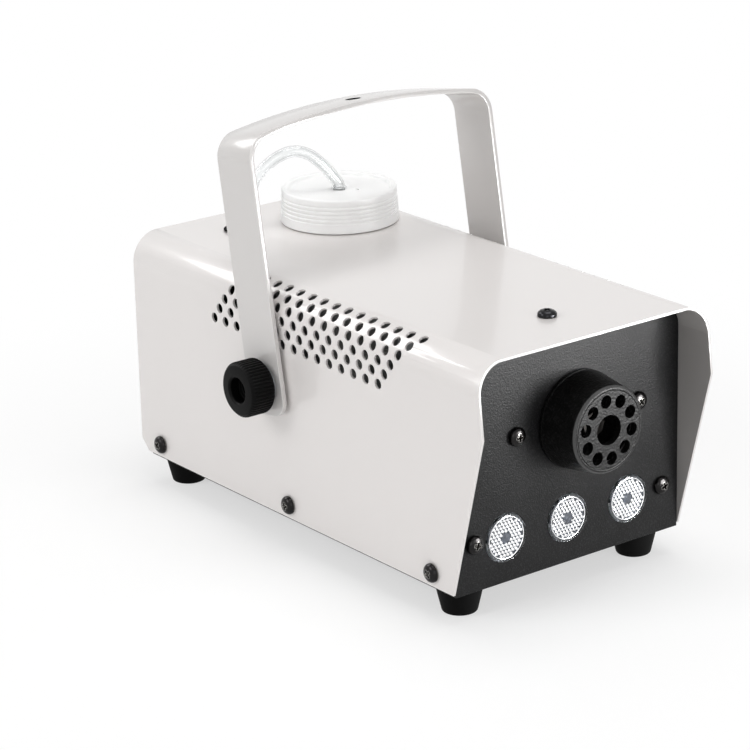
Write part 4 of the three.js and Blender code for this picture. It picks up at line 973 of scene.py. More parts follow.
def build_cover(context):
    """Cover: one flat sheet with its holes, rolled round its bends, trimmed and given its thickness."""
    sizes = context.scene.fog_cover
    low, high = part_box("cover")
    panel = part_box("chassis")[0].y
    half_top = high.x - sizes.bend
    arc = sizes.bend * QUARTER
    bend_start = high.z - sizes.bend
    loops = cover_loops(sizes, high, low, lambda height: half_top + arc + bend_start - height)
    bm = flat_shape(loops)
    lines = [half_top - sizes.ease, half_top + arc + sizes.ease]
    lines += [half_top + arc * i / sizes.steps for i in range(sizes.steps + 1)]
    cut_lines(bm, [side * line for side in SIDES.values() for line in lines], "x")
    for vert in bm.verts:
        vert.co = roll_cover(vert.co, half_top, sizes.bend, high.z)
    kink = Vector((0, low.y, sizes.kink))
    upper = Vector((0, low.y + sizes.visor_setback, high.z)) - kink
    lower = Vector((0, panel, low.z)) - kink
    trim(bm, kink, (0, -upper.z, upper.y))
    trim(bm, kink, (0, lower.z, -lower.y))
    trim(bm, (0, high.y, low.z + sizes.rear_chamfer), (0, 1, -1))
    bmesh.ops.remove_doubles(bm, verts=bm.verts, dist=WELD)
    if sum(face.normal.z * face.calc_area() for face in bm.faces) < 0:
        bmesh.ops.reverse_faces(bm, faces=bm.faces)
    obj = as_object("cover", bm, stoving_enamel(context.scene.fog_colours))
    # The second slot, on the sheet's inner face, carries the painted shade of the cover's inside.
    obj.data.materials.append(shaded_inside_enamel(context.scene.fog_colours))
    wall = obj.modifiers.new("sheet", "SOLIDIFY")
    wall.thickness = sizes.sheet
    wall.offset = -1
    wall.material_offset = 1
    rim = obj.modifiers.new("painted_edge", "BEVEL")
    rim.width = sizes.paint_edge
    rim.segments = 2
    rim.angle_limit = math.radians(60)
    settle(obj)
    even(obj)
    stand(obj, body_of("cover"), "white_enamel", "cover")


def build_chassis(context):
    """Chassis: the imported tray, its edges rounded by the powder coat."""
    coat = powder_coat(context.scene.fog_colours)
    refined("chassis", coat, "black_powder_coat", context.scene.fog_rear.sheet_edge)


def strap_place(point, sizes, outer):
    """Takes a point of the flat strap to its place on the bent handle, about its pivot."""
    slope = math.asin((outer - sizes.bend) / (sizes.crown - sizes.bend))
    crown_run = sizes.crown * slope
    bend_run = sizes.bend * (QUARTER - slope)
    bend_x = outer - sizes.bend
    bend_z = sizes.top - sizes.crown + (sizes.crown - sizes.bend) * math.cos(slope)
    side = 1 if point.x > 0 else -1
    away = abs(point.x)
    if away <= crown_run:
        angle = away / sizes.crown
        base = Vector((sizes.crown * math.sin(angle), 0, sizes.top - sizes.crown + sizes.crown * math.cos(angle)))
    elif away <= crown_run + bend_run:
        angle = slope + (away - crown_run) / sizes.bend
        base = Vector((bend_x + sizes.bend * math.sin(angle), 0, bend_z + sizes.bend * math.cos(angle)))
    else:
        angle = QUARTER
        base = Vector((outer, 0, bend_z - (away - crown_run - bend_run)))
    inset = sizes.thickness - point.z
    place = base - Vector((math.sin(angle), 0, math.cos(angle))) * inset
    return Vector((side * place.x, point.y, place.z))


def build_handle(context):
    """Handle: a flat strap with its holes, bent over the case and leant back."""
    sizes = context.scene.fog_handle
    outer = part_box("handle")[1].x
    slope = math.asin((outer - sizes.bend) / (sizes.crown - sizes.bend))
    crown_run = sizes.crown * slope
    bend_run = sizes.bend * (QUARTER - slope)
    bend_z = sizes.top - sizes.crown + (sizes.crown - sizes.bend) * math.cos(slope)
    pivot_run = crown_run + bend_run + bend_z
    end = pivot_run + sizes.tail
    stud = context.scene.fog_cover.stud_hole
    loops = [rounded_box(0, 0, 2 * end, sizes.width, sizes.tail_corner, 8), ring(0, 0, sizes.hanging_hole, 32)]
    loops += [ring(side * pivot_run, 0, stud, 28) for side in SIDES.values()]
    bm = flat_shape(loops, sizes.thickness, sizes.edge)
    lines = [crown_run * i / sizes.crown_steps for i in range(sizes.crown_steps)]
    lines += [crown_run + bend_run * i / sizes.bend_steps for i in range(sizes.bend_steps + 1)]
    cut_lines(bm, sorted({side * line for side in SIDES.values() for line in lines}), "x")
    for vert in bm.verts:
        vert.co = strap_place(vert.co, sizes, outer)
    pivot = middle("clamp_washer_left")
    place = Matrix.Translation((0, pivot.y, pivot.z)) @ Matrix.Rotation(-sizes.lean, 4, "X")
    bmesh.ops.transform(bm, matrix=place, verts=bm.verts)
    bmesh.ops.recalc_face_normals(bm, faces=bm.faces)
    colours = context.scene.fog_colours
    obj = as_object("handle", bm, strap_enamel(colours))
    even(obj)
    stand(obj, body_of("handle"), "white_enamel", "handle")
    tap = sizes.hanging_hole - sizes.bush_wall
    bush = turned([(sizes.hanging_hole, 0), (sizes.hanging_hole, sizes.thickness), (tap, sizes.thickness), (tap, 0)], 32)
    lift = Matrix.Translation((0, 0, sizes.top - sizes.thickness))
    bmesh.ops.transform(bush, matrix=place @ lift, verts=bush.verts)
    lining = as_object("hanging_bush", bush, black_oxide(colours))
    stand(lining, body_of("handle"), "black_steel")


def build_clamps(context):
    """Hand knobs: turned, fluted round the grip and recessed in front."""
    sizes = context.scene.fog_clamp
    colours = context.scene.fog_colours
    for word, side in SIDES.items():
        node = "clamp_knob_" + word
        low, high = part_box(node)
        radius = (high.z - low.z) / 2
        long = high.x - low.x
        inner = sizes.recess
        profile = softened(
            [
                (sizes.socket, 0),
                (radius - sizes.edge, 0),
                (radius, sizes.edge),
                (radius, long - sizes.edge - sizes.dome),
                (radius - sizes.edge, long - sizes.dome),
                (inner + sizes.recess_lip, long),
                (inner, long - sizes.recess_lip),
                (inner, long - sizes.recess_depth),
                (sizes.socket, long - sizes.recess_depth),
                (sizes.socket, 0),
            ],
            sizes.soften,
        )
        bm = turned(profile[:-1], sizes.flutes * sizes.flute_points)
        shallow = radius - sizes.edge
        for vert in bm.verts:
            reach = math.hypot(vert.co.x, vert.co.y)
            if reach > shallow:
                turn = math.atan2(vert.co.y, vert.co.x) * sizes.flutes
                push = sizes.flute_depth * (0.5 - 0.5 * math.cos(turn)) ** 2 * (reach - shallow) / sizes.edge
                vert.co.x -= push * vert.co.x / reach
                vert.co.y -= push * vert.co.y / reach
        mid = middle(node)
        base = high.x if side < 0 else low.x
        way = "-x" if side < 0 else "x"
        bmesh.ops.transform(bm, matrix=Matrix.Translation((base, mid.y, mid.z)) @ ALONG[way], verts=bm.verts)
        obj = as_object(node, bm, knob_plastic(colours), math.radians(28))
        stand(obj, body_of(node), "black_plastic", node)


def screw_mesh(sizes, length):
    """A pan-head screw along Z with its seat at zero, and the cross cut in its head."""
    curve = [(sizes.head, sizes.brim)]
    for i in range(1, 7):
        angle = i / 6 * QUARTER
        rise = sizes.brim + (sizes.height - sizes.brim) * math.sin(angle)
        curve.append((sizes.head * math.cos(angle) ** 0.75 if i < 6 else 0, rise))
    profile = [(0, -length), (sizes.shank, -length), (sizes.shank, 0), (sizes.head, 0), *curve]
    head = turned(profile, sizes.steps)
    crossed = bmesh.new()
    for turn in (0, QUARTER):
        made = bmesh.ops.create_cube(crossed, size=1)["verts"]
        bmesh.ops.scale(crossed, vec=(sizes.slot, sizes.slot_width, sizes.slot_depth * 2), verts=made)
        for vert in made:
            if vert.co.z < 0:
                vert.co.x *= 0.35
                vert.co.y *= 0.7
        bmesh.ops.rotate(crossed, cent=(0, 0, 0), matrix=Matrix.Rotation(turn, 3, "Z"), verts=made)
        bmesh.ops.translate(crossed, vec=(0, 0, sizes.height), verts=made)
    return head, crossed


def build_screws(context):
    """Pan-head screws in the cover and the front panel."""
    sizes = context.scene.fog_screw
    colours = context.scene.fog_colours
    head, crossed = screw_mesh(sizes, sizes.length)
    pattern = as_object("screw_pattern", head, dark_nickel(colours))
    join = bpy.data.meshes.new("cross")
    crossed.to_mesh(join)
    crossed.free()
    tool = bpy.data.objects.new("cross", join)
    context.scene.collection.objects.link(tool)
    cut = pattern.modifiers.new("cross", "BOOLEAN")
    cut.object = tool
    cut.solver = "EXACT"
    cut.use_self = True
    settle(pattern)
    bpy.data.objects.remove(tool)
    names = [n for n in frame["nodes"] if "_screw" in n]
    for name in names:
        low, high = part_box(name)
        mid = middle(name)
        if name == "top_screw":
            way, seat, finish_made, slot = "z", Vector((mid.x, mid.y, high.z - sizes.height)), black_oxide, "black_steel"
        elif name.startswith("panel"):
            way, seat, finish_made, slot = "-y", Vector((mid.x, low.y + sizes.height, mid.z)), dark_nickel, "dark_nickel"
        elif "left" in name:
            way, seat, finish_made, slot = "-x", Vector((low.x + sizes.height, mid.y, mid.z)), dark_nickel, "dark_nickel"
        else:
            way, seat, finish_made, slot = "x", Vector((high.x - sizes.height, mid.y, mid.z)), dark_nickel, "dark_nickel"
        turn = Matrix.Rotation(math.radians(37 * names.index(name)), 4, "Z")
        bm = bmesh.new()
        bm.from_mesh(pattern.data)
        bmesh.ops.transform(bm, matrix=Matrix.Translation(seat) @ ALONG[way] @ turn, verts=bm.verts)
        obj = as_object(name, bm, finish_made(colours))
        stand(obj, body_of(name), slot, name)
    bpy.data.objects.remove(pattern)


def build_feet(context):
    """Rubber feet, tapered, with a barbed stem."""
    sizes = context.scene.fog_foot
    for node in [n for n in frame["nodes"] if n.startswith("foot_")]:
        low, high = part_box(node)
        mid = middle(node)
        top = high.z
        profile = softened(
            [
                (0, sizes.dimple_depth),
                (sizes.dimple, sizes.dimple_depth),
                (sizes.dimple, 0),
                (sizes.bottom, 0),
                (sizes.top, sizes.height),
                (sizes.stem, sizes.height),
                (sizes.stem, top - sizes.barb * 2 / 3),
                (sizes.barb, top - sizes.barb * 2 / 3),
                (sizes.stem, top),
                (0, top),
            ],
            sizes.edge,
        )
        bm = turned(profile, 64)
        bmesh.ops.translate(bm, vec=(mid.x, mid.y, 0), verts=bm.verts)
        obj = as_object(node, bm, rubber(context.scene.fog_colours))
        stand(obj, body_of(node), "black_rubber", node)


def build_nozzle(context):
    """Nozzle: a turned barrel and a disc with a ring of holes round its bore."""
    sizes = context.scene.fog_nozzle
    colours = context.scene.fog_colours
    low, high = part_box("nozzle_barrel")
    mid = middle("nozzle_barrel")
    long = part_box("chassis")[0].y - low.y - 0.0003
    deep = high.y - low.y
    bore = sizes.front - sizes.wall
    seat = sizes.disc + sizes.gap
    profile = softened(
        [
            (bore, long * 0.5),
            (bore, 0),
            (sizes.front - sizes.chamfer, 0),
            (sizes.front, sizes.chamfer),
            (sizes.shoulder, long - sizes.lip),
            (sizes.base, long - sizes.lip),
            (sizes.base, long),
            (sizes.spigot, long),
            (sizes.spigot, deep),
            (sizes.spigot - sizes.wall, deep),
            (sizes.spigot - sizes.wall, long - sizes.lip),
            (bore - sizes.wall, seat + sizes.wall),
            (bore - sizes.wall, seat),
            (bore, seat),
        ],
        sizes.soften,
    )
    bm = turned(profile[1:], sizes.steps)
    # Marks the front chamfer, which the finish paints grey as a painted highlight.
    rubbed = bm.verts.layers.float.new("rubbed")
    for vert in bm.verts:
        front = vert.co.z < sizes.chamfer
        vert[rubbed] = float(front and math.hypot(vert.co.x, vert.co.y) > sizes.front - sizes.chamfer)
    place = Matrix.Translation((mid.x, low.y, mid.z)) @ ALONG["y"]
    bmesh.ops.transform(bm, matrix=place, verts=bm.verts)
    barrel = as_object("nozzle_barrel", bm, nozzle_plastic(colours))
    stand(barrel, body_of("nozzle_barrel"), "black_plastic", "nozzle_barrel")

    loops = [ring(0, 0, bore - sizes.gap, sizes.steps), ring(0, 0, sizes.bore, 48)]
    for x, y in ring(0, 0, sizes.circle, sizes.holes, sizes.turn):
        loops.append(ring(x, y, sizes.hole, 32))
    disc = flat_shape(loops, sizes.disc, sizes.edge)
    bmesh.ops.rotate(disc, cent=(0, 0, 0), matrix=Matrix.Rotation(QUARTER, 3, "X"), verts=disc.verts)
    bmesh.ops.translate(disc, vec=(mid.x, low.y + sizes.disc, mid.z), verts=disc.verts)
    obj = as_object("nozzle_disc", disc, nozzle_plastic(colours))
    even(obj)
    stand(obj, body_of("nozzle_disc"), "black_plastic", "nozzle_disc")


def honeycomb(pitch, inner, outer):
    """Middles of hexagonal cells between two circles."""
    rise = pitch * math.sqrt(0.75)
    rows = math.ceil(outer / rise)
    for row in range(-rows, rows + 1):
        for column in range(-rows, rows + 1):
            x = (column + row % 2 / 2) * pitch
            if inner < math.hypot(x, row * rise) < outer:
                yield x, row * rise


def lens_body(sizes, long, behind, wide):
    """A lens's clear solid, its face at zero height, with a rim and a flange."""
    face = sizes.radius - sizes.rim
    profile = [
        (0, sizes.step),
        (face, sizes.step),
        (face, sizes.edge),
        (face + sizes.edge, 0),
        (sizes.radius - sizes.edge, 0),
        (sizes.radius, sizes.edge),
        (sizes.radius, behind),
        (wide, behind),
        (wide, behind + sizes.flange),
        (sizes.back, long),
        (0, long),
    ]
    return turned(softened(profile, sizes.edge / 2), 72)


def lens_cup_shell(sizes, long, start, wide):
    """The white cup round a lens's back."""
    inner = [(sizes.back + sizes.cup_gap, long), (wide + sizes.cup_gap, start)]
    outer = [(radius + sizes.cup_wall, height) for radius, height in reversed(inner)]
    return turned(inner + outer, 48)


def lens_cells(sizes):
    """The honeycomb of cells, each a hexagonal pyramid with its top cut off."""
    bm = bmesh.new()
    foot = (sizes.cell - sizes.cell_gap) / math.sqrt(3)
    height = sizes.step - sizes.plate - sizes.cell_height / 2
    limit = sizes.radius - sizes.rim - sizes.groove - sizes.ring - foot / 3
    for x, y in honeycomb(sizes.cell, sizes.die, limit):
        made = bmesh.ops.create_cone(
            bm, cap_ends=True, segments=6, radius1=foot * sizes.cell_top, radius2=foot, depth=sizes.cell_height
        )["verts"]
        bmesh.ops.translate(bm, vec=(x, y, height), verts=made)
    return bm


def lens_ring(sizes):
    """The bright ring between the cells and the clear rim."""
    outer = sizes.radius - sizes.rim - sizes.groove
    foot = sizes.step - sizes.plate
    top = foot - sizes.cell_height
    profile = [
        (outer - sizes.ring / 2, foot),
        (outer, foot),
        (outer, top),
        (outer - sizes.ring, top),
        (outer - sizes.ring, foot),
        (outer - sizes.ring / 2, foot),
    ]
    return turned(softened(profile, sizes.ring / 2)[:-1], 72)


def lens_die(sizes):
    """The diode in the middle of a lens, seen as a low faceted dome."""
    bm = bmesh.new()
    bmesh.ops.create_icosphere(bm, subdivisions=1, radius=sizes.die)
    bmesh.ops.scale(bm, vec=(1, 1, sizes.cell_height / sizes.die), verts=bm.verts)
    bmesh.ops.translate(bm, vec=(0, 0, sizes.step - sizes.plate), verts=bm.verts)
    return bm


def build_lights(context):
    """Lenses: a clear rim and body, honeycomb cells over a plate painted dark as shade, a diode, and a white cup
    behind.
    """
    sizes = context.scene.fog_light
    colours = context.scene.fog_colours
    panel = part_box("chassis")[0].y
    for word in ("left", "middle", "right"):
        node = "led_lens_" + word
        low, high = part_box(node)
        mid = middle(node)
        long = high.y - low.y
        wide = (high.x - low.x) / 2
        behind = panel + sizes.sheet - low.y
        plate = bmesh.new()
        inner = sizes.radius - sizes.rim
        bmesh.ops.create_cone(plate, cap_ends=True, segments=72, radius1=inner, radius2=inner, depth=sizes.plate)
        bmesh.ops.translate(plate, vec=(0, 0, sizes.step - sizes.plate / 2), verts=plate.verts)
        pieces = {
            node: (lens_body(sizes, long, behind, wide), acrylic, "clear_acrylic"),
            "lens_cup_" + word: (lens_cup_shell(sizes, long, behind + sizes.flange, wide), lens_cup, "white_nylon"),
            "lens_plate_" + word: (plate, lens_shade_plate, "clear_acrylic"),
            "lens_cells_" + word: (lens_cells(sizes), lens_cell, "clear_acrylic"),
            "lens_ring_" + word: (lens_ring(sizes), lens_cell, "clear_acrylic"),
            "led_die_" + word: (lens_die(sizes), diode_die, "clear_acrylic"),
        }
        place = Matrix.Translation((mid.x, low.y, mid.z)) @ ALONG["y"]
        for name, (bm, finish_made, slot) in pieces.items():
            bmesh.ops.transform(bm, matrix=place, verts=bm.verts)
            crease = math.radians(5) if name.startswith(("lens_cells", "led_die")) else CREASE
            obj = as_object(name, bm, finish_made(colours), crease)
            stand(obj, body_of(node), slot, *[node] * (name == node))


def build_cap(context):
    """Tank cap: a turned skirt with soft ribs, a raised rim round its roof, and a pinhole vent."""
    sizes = context.scene.fog_cap
    low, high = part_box("tank_cap")
    mid = middle("tank_cap")
    tall = high.z - low.z
    zone = tall - sizes.band - sizes.rim
    ribs = []
    for i in range(sizes.ribs):
        z = sizes.band + i * zone / sizes.ribs
        radius = sizes.radius + (sizes.top_radius - sizes.radius) * z / tall
        pitch = zone / sizes.ribs
        ribs += [(radius, z), (radius, z + pitch * 0.45), (radius - sizes.rib_depth, z + pitch * 0.62)]
    roof = tall - sizes.recess
    skirt = softened(
        [
            (sizes.hole, roof - sizes.roof),
            (sizes.radius - sizes.wall, roof - sizes.roof),
            (sizes.radius - sizes.wall, 0),
            (sizes.radius, 0),
            *ribs,
            (sizes.top_radius, tall - sizes.rim),
            (sizes.top_radius, tall),
            (sizes.top_radius - sizes.rim, tall),
            (sizes.top_radius - sizes.rim - sizes.rib_depth, roof),
            (sizes.hole, roof),
            (sizes.hole, roof - sizes.roof),
        ],
        0.9 / 1000,
        5,
    )
    bm = turned(skirt[:-1], sizes.steps)
    bmesh.ops.translate(bm, vec=(mid.x, mid.y, low.z), verts=bm.verts)
    obj = as_object("tank_cap", bm, polythene(context.scene.fog_colours), math.radians(50))
    pin = bmesh.new()
    bmesh.ops.create_cone(
        pin, cap_ends=True, segments=20, radius1=sizes.vent, radius2=sizes.vent, depth=4 * sizes.roof
    )
    place = (mid.x + sizes.vent_across, mid.y - sizes.vent_front, low.z + roof)
    bmesh.ops.translate(pin, vec=place, verts=pin.verts)
    carve(obj, pin)
    shade(obj, math.radians(50))
    stand(obj, body_of("tank_cap"), "milky_plastic", "tank_cap")


HOSE_ACROSS = [0, 0.08, 0.18, 0.3, 0.435, 0.57, 0.68, 0.76, 0.845, 0.92, 0.98, 1]
HOSE_RISE = [1.6, 7.6, 12.9, 17.3, 19, 17.5, 14.4, 10.8, 5.2, -1.8, -6, -9.4]
HOSE_DROP = [0, 0.12, 0.32, 0.54, 0.76, 0.94, 1]
HOSE_SWING = [0, 0.02, 0.2, 0.56, 0.88, 1, 1]


def hose_route():
    """The feed hose's points, from the cap over to the grommet and down to the pump."""
    cap = middle("tank_cap")
    pump = middle("pump_coil")
    grommet = middle("hose_grommet")
    low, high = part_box("feed_hose")
    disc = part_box("pickup_tube")[1].z - 0.0004
    route = [Vector((cap.x, cap.y, disc + 0.0007))]
    for across, rise in zip(HOSE_ACROSS, HOSE_RISE):
        point = cap.lerp(grommet, across)
        route.append(Vector((point.x, point.y, disc + rise / 1000)))
    inside = 0.1104
    for drop, swing in zip(HOSE_DROP, HOSE_SWING):
        point = grommet.lerp(pump, swing)
        route.append(Vector((point.x, point.y, inside + (low.z - inside) * drop)))
    return route


def build_hose(context):
    """Feed hose: a clear tube with a wall, and the grommet that it goes through."""
    sizes = context.scene.fog_hose
    colours = context.scene.fog_colours
    route = hose_route()
    curve = bpy.data.curves.new("hose_route", "CURVE")
    curve.dimensions = "3D"
    curve.bevel_depth = sizes.radius
    curve.bevel_resolution = sizes.sides // 4
    curve.resolution_u = 10
    spline = curve.splines.new("BEZIER")
    spline.bezier_points.add(len(route) - 1)
    for point, place in zip(spline.bezier_points, route):
        point.co = place
        point.handle_left_type = "AUTO"
        point.handle_right_type = "AUTO"
    carrier = bpy.data.objects.new("hose_route", curve)
    context.scene.collection.objects.link(carrier)
    graph = context.evaluated_depsgraph_get()
    mesh = bpy.data.meshes.new_from_object(carrier.evaluated_get(graph))
    bpy.data.objects.remove(carrier)
    bm = bmesh.new()
    bm.from_mesh(mesh)
    bmesh.ops.remove_doubles(bm, verts=bm.verts, dist=WELD)
    bmesh.ops.recalc_face_normals(bm, faces=bm.faces)
    obj = as_object("feed_hose", bm, silicone(colours), math.radians(60))
    wall = obj.modifiers.new("wall", "SOLIDIFY")
    wall.thickness = sizes.wall
    wall.offset = -1
    settle(obj, math.radians(60))
    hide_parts("feed_hose")
    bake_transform(obj)

    low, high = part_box("hose_grommet")
    mid = middle("hose_grommet")
    hole = sizes.radius + 0.0001
    thick = sizes.thickness
    profile = softened(
        [
            (hole, low.z),
            (sizes.flange, low.z),
            (sizes.flange, low.z + thick),
            (sizes.neck, low.z + thick),
            (sizes.neck, high.z - thick),
            (sizes.flange, high.z - thick),
            (sizes.flange, high.z - thick / 2),
            (sizes.flange - thick, high.z),
            (hole, high.z),
            (hole, low.z),
        ],
        thick / 3,
    )
    bm = turned(profile[:-1], 48)
    bmesh.ops.translate(bm, vec=(mid.x, mid.y, 0), verts=bm.verts)
    ringed = as_object("hose_grommet", bm, rubber(colours))
    stand(ringed, body_of("hose_grommet"), "black_rubber", "hose_grommet")


def refined(node, material, slot, edge):
    """A copy of a CAD node, merged and with rounded edges, in its place."""
    bm = bmesh.new()
    bm.from_mesh(frame["nodes"][node].data)
    bmesh.ops.remove_doubles(bm, verts=bm.verts, dist=WELD * 10)
    bmesh.ops.dissolve_limit(bm, angle_limit=math.radians(1), verts=bm.verts, edges=bm.edges)
    obj = as_object(node, bm, material)
    rim = obj.modifiers.new("moulded_edge", "BEVEL")
    rim.width = edge
    rim.segments = 3
    rim.angle_limit = math.radians(50)
    settle(obj)
    even(obj)
    stand(obj, body_of(node), slot, node)


def build_rear(context):
    """Rear panel: mains inlet, rocker switch, fuse holder and remote socket."""
    sizes = context.scene.fog_rear
    colours = context.scene.fog_colours
    for node in ("mains_inlet", "switch_frame", "fuse_holder", "fuse_cap", "remote_socket"):
        refined(node, rear_plastic(colours), "black_plastic", sizes.edge)
    refined("switch_rocker", red_rocker(colours), "red_plastic", sizes.edge)


def build_inside(context):
    """Inner pieces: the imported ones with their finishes."""
    colours = context.scene.fog_colours
    slots = {part["node"]: part["material_slot"] for part in frame["record"]["subparts"]}
    for name, node in frame["nodes"].items():
        if node.hide_render:
            continue
        node.data.materials.clear()
        # The outlet pipe, seen through the nozzle's holes, gets brass darkened as painted shade.
        made = shaded_brass if name == "outlet_pipe" else SLOT_FINISHES[slots[name]]
        node.data.materials.append(made(colours))


def build_studio(context):
    """Floor, white surroundings, soft lamps and the camera."""
    settings = context.scene.fog_studio
    colours = context.scene.fog_colours
    scene = context.scene
    scene.view_settings.view_transform = "Standard"

    camera = bpy.data.objects.new("camera", bpy.data.cameras.new("camera"))
    scene.collection.objects.link(camera)
    camera.data.lens = settings.lens * 1000
    camera.data.clip_start = 0.01
    camera.location = settings.camera
    aim = (Vector(settings.target) - Vector(settings.camera)).to_track_quat("-Z", "Y").to_matrix().to_4x4()
    camera.matrix_world = Matrix.Translation(settings.camera) @ aim @ Matrix.Rotation(settings.roll, 4, "Z")
    scene.camera = camera

    bm = bmesh.new()
    bmesh.ops.create_grid(bm, x_segments=1, y_segments=1, size=settings.floor / 2)
    ground, shader = finish("floor_paper", {"Base Color": paint(colours.floor), "Roughness": 0.9})
    tree = ground.node_tree
    rays = add_node(tree, "LightPath")
    seen = add_node(
        tree, "Math", {0: rays.outputs["Is Camera Ray"], 1: rays.outputs["Is Glossy Ray"]}, operation="MAXIMUM"
    )
    seen = add_node(tree, "Math", {0: seen.outputs[0], 1: rays.outputs["Is Transmission Ray"]}, operation="MAXIMUM")
    where = add_node(tree, "TexCoord").outputs["Object"]
    away = add_node(tree, "VectorMath", {0: where}, operation="LENGTH").outputs["Value"]
    reach = {"Value": away, "From Min": settings.near, "From Max": settings.far, "To Min": 1 - settings.shadow}
    plain = add_node(tree, "MapRange", reach, interpolation_type="SMOOTHSTEP").outputs["Result"]
    part = add_node(tree, "Math", {0: seen.outputs[0], 1: plain}, operation="MULTIPLY")
    glow = add_node(tree, "Emission", {"Color": (1, 1, 1, 1), "Strength": 1.0})
    mixed = add_node(tree, "MixShader", {0: part.outputs[0], 1: shader.outputs[0], 2: glow.outputs[0]})
    tree.links.new(mixed.outputs[0], tree.nodes["Material Output"].inputs["Surface"])
    floor = as_object("floor", bm, ground)

    world = bpy.data.worlds.new("studio")
    scene.world = world
    world.use_nodes = True
    tree = world.node_tree
    tree.nodes.clear()
    rays = add_node(tree, "LightPath")
    seen = add_node(
        tree, "Math", {0: rays.outputs["Is Camera Ray"], 1: rays.outputs["Is Glossy Ray"]}, operation="MAXIMUM"
    )
    seen = add_node(tree, "Math", {0: seen.outputs[0], 1: rays.outputs["Is Transmission Ray"]}, operation="MAXIMUM")
    even = {"Value": seen.outputs[0], "To Min": settings.ambient, "To Max": 1.0}
    level = add_node(tree, "MapRange", even)
    back = add_node(tree, "Background", {"Color": (1, 1, 1, 1), "Strength": level.outputs["Result"]})
    add_node(tree, "OutputWorld", {"Surface": back.outputs[0]})

    lamps = {
        "key_lamp": (settings.key, (-1.9, 0.5, 1.2), 0.9),
        "top_lamp": (settings.top, (0.3, -0.1, 2.2), 1.4),
        "sheen_lamp": (settings.sheen, (0.13, -0.3, 0.1), 0.14),
        "band_lamp": (settings.band, (-0.65, 1.47, 1.18), 0.8),
        "front_lamp": (settings.front, (0.4, -2.0, 0.7), 1.0),
        "fill_lamp": (settings.fill, (-1.2, -1.7, 0.7), 1.0),
    }
    for name, (power, place, size) in lamps.items():
        lamp = bpy.data.lights.new(name, "AREA")
        lamp.energy = power
        lamp.size = size
        holder = bpy.data.objects.new(name, lamp)
        scene.collection.objects.link(holder)
        holder.location = place
        holder.visible_camera = False
        holder.visible_diffuse = name not in ("sheen_lamp", "band_lamp")
        holder.rotation_euler = (Vector((0, 0, 0.05)) - Vector(place)).to_track_quat("-Z", "Y").to_euler()


# Operators


class BuildOperator:
    """Shared by the operators: runs a build and raises its error if it can't finish."""

    bl_options = {"REGISTER", "UNDO"}

    def execute(self, context):
        type(self).build(context)
        return {"FINISHED"}


class FOG_OT_cover(BuildOperator, bpy.types.Operator):
    """Build the vented cover"""

    bl_idname = "fog_machine.cover"
    bl_label = "Cover"
    build = staticmethod(build_cover)


class FOG_OT_chassis(BuildOperator, bpy.types.Operator):
    """Finish the chassis"""

    bl_idname = "fog_machine.chassis"
    bl_label = "Chassis"
    build = staticmethod(build_chassis)


class FOG_OT_handle(BuildOperator, bpy.types.Operator):
    """Build the strap handle"""

    bl_idname = "fog_machine.handle"
    bl_label = "Handle"
    build = staticmethod(build_handle)


class FOG_OT_clamps(BuildOperator, bpy.types.Operator):
    """Build the hand knobs"""

    bl_idname = "fog_machine.clamps"
    bl_label = "Hand knobs"
    build = staticmethod(build_clamps)


class FOG_OT_screws(BuildOperator, bpy.types.Operator):
    """Build the screws"""

    bl_idname = "fog_machine.screws"
    bl_label = "Screws"
    build = staticmethod(build_screws)


class FOG_OT_feet(BuildOperator, bpy.types.Operator):
    """Build the rubber feet"""

    bl_idname = "fog_machine.feet"
    bl_label = "Feet"
    build = staticmethod(build_feet)


class FOG_OT_nozzle(BuildOperator, bpy.types.Operator):
    """Build the nozzle"""

    bl_idname = "fog_machine.nozzle"
    bl_label = "Nozzle"
    build = staticmethod(build_nozzle)


class FOG_OT_lights(BuildOperator, bpy.types.Operator):
    """Build the lenses"""

    bl_idname = "fog_machine.lights"
    bl_label = "Lights"
    build = staticmethod(build_lights)


class FOG_OT_cap(BuildOperator, bpy.types.Operator):
    """Build the tank's cap"""

    bl_idname = "fog_machine.cap"
    bl_label = "Tank cap"
    build = staticmethod(build_cap)


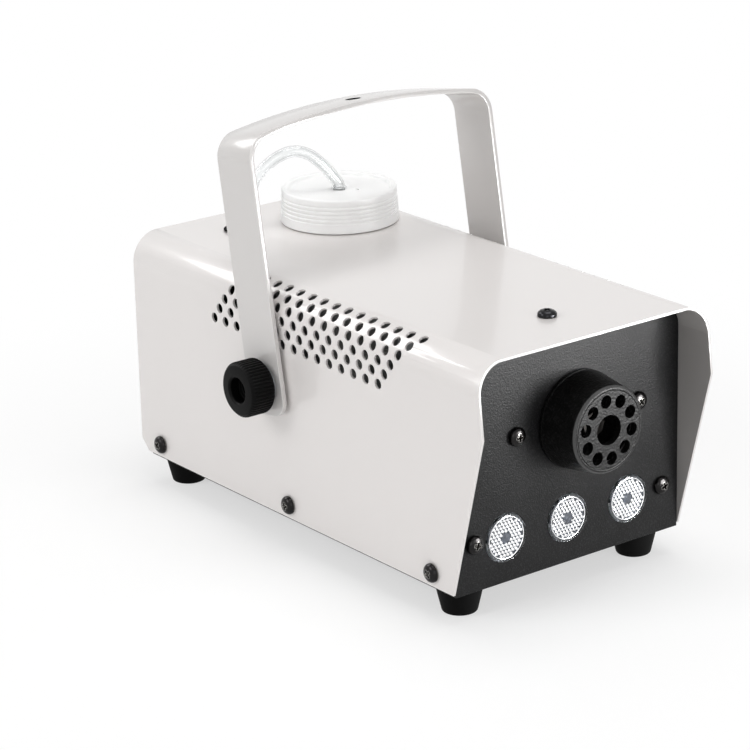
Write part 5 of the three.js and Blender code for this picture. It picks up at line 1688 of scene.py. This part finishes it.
class FOG_OT_hose(BuildOperator, bpy.types.Operator):
    """Build the feed hose and its grommet"""

    bl_idname = "fog_machine.hose"
    bl_label = "Feed hose"
    build = staticmethod(build_hose)


class FOG_OT_rear(BuildOperator, bpy.types.Operator):
    """Build the rear panel's pieces"""

    bl_idname = "fog_machine.rear"
    bl_label = "Rear panel"
    build = staticmethod(build_rear)


class FOG_OT_inside(BuildOperator, bpy.types.Operator):
    """Finish the inner pieces"""

    bl_idname = "fog_machine.inside"
    bl_label = "Inner pieces"
    build = staticmethod(build_inside)


class FOG_OT_studio(BuildOperator, bpy.types.Operator):
    """Build the floor, lamps and camera"""

    bl_idname = "fog_machine.studio"
    bl_label = "Studio"
    build = staticmethod(build_studio)


OPERATORS = [
    FOG_OT_studio,
    FOG_OT_cover,
    FOG_OT_chassis,
    FOG_OT_handle,
    FOG_OT_clamps,
    FOG_OT_screws,
    FOG_OT_feet,
    FOG_OT_nozzle,
    FOG_OT_lights,
    FOG_OT_cap,
    FOG_OT_hose,
    FOG_OT_rear,
    FOG_OT_inside,
]


class FOG_PT_build(bpy.types.Panel):
    """Lists the build steps"""

    bl_idname = "FOG_PT_build"
    bl_label = "Fog machine"
    bl_space_type = "VIEW_3D"
    bl_region_type = "UI"
    bl_category = "Fog machine"

    def draw(self, context):
        for step in OPERATORS:
            self.layout.operator(step.bl_idname)
        for name in GROUPS:
            box = self.layout.box()
            for key in GROUPS[name].__annotations__:
                box.prop(getattr(context.scene, name), key)


def register():
    for name, group in GROUPS.items():
        bpy.utils.register_class(group)
        setattr(bpy.types.Scene, name, bpy.props.PointerProperty(type=group))
    for cls in [*OPERATORS, FOG_PT_build]:
        bpy.utils.register_class(cls)


def unregister():
    for cls in reversed([*OPERATORS, FOG_PT_build]):
        bpy.utils.unregister_class(cls)
    for name, group in GROUPS.items():
        delattr(bpy.types.Scene, name)
        bpy.utils.unregister_class(group)


def main():
    """Builds the fog machine."""
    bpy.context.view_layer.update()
    register()
    for step in OPERATORS:
        group, name = step.bl_idname.split(".")
        getattr(getattr(bpy.ops, group), name)()


if __name__ == "__main__":
    main()
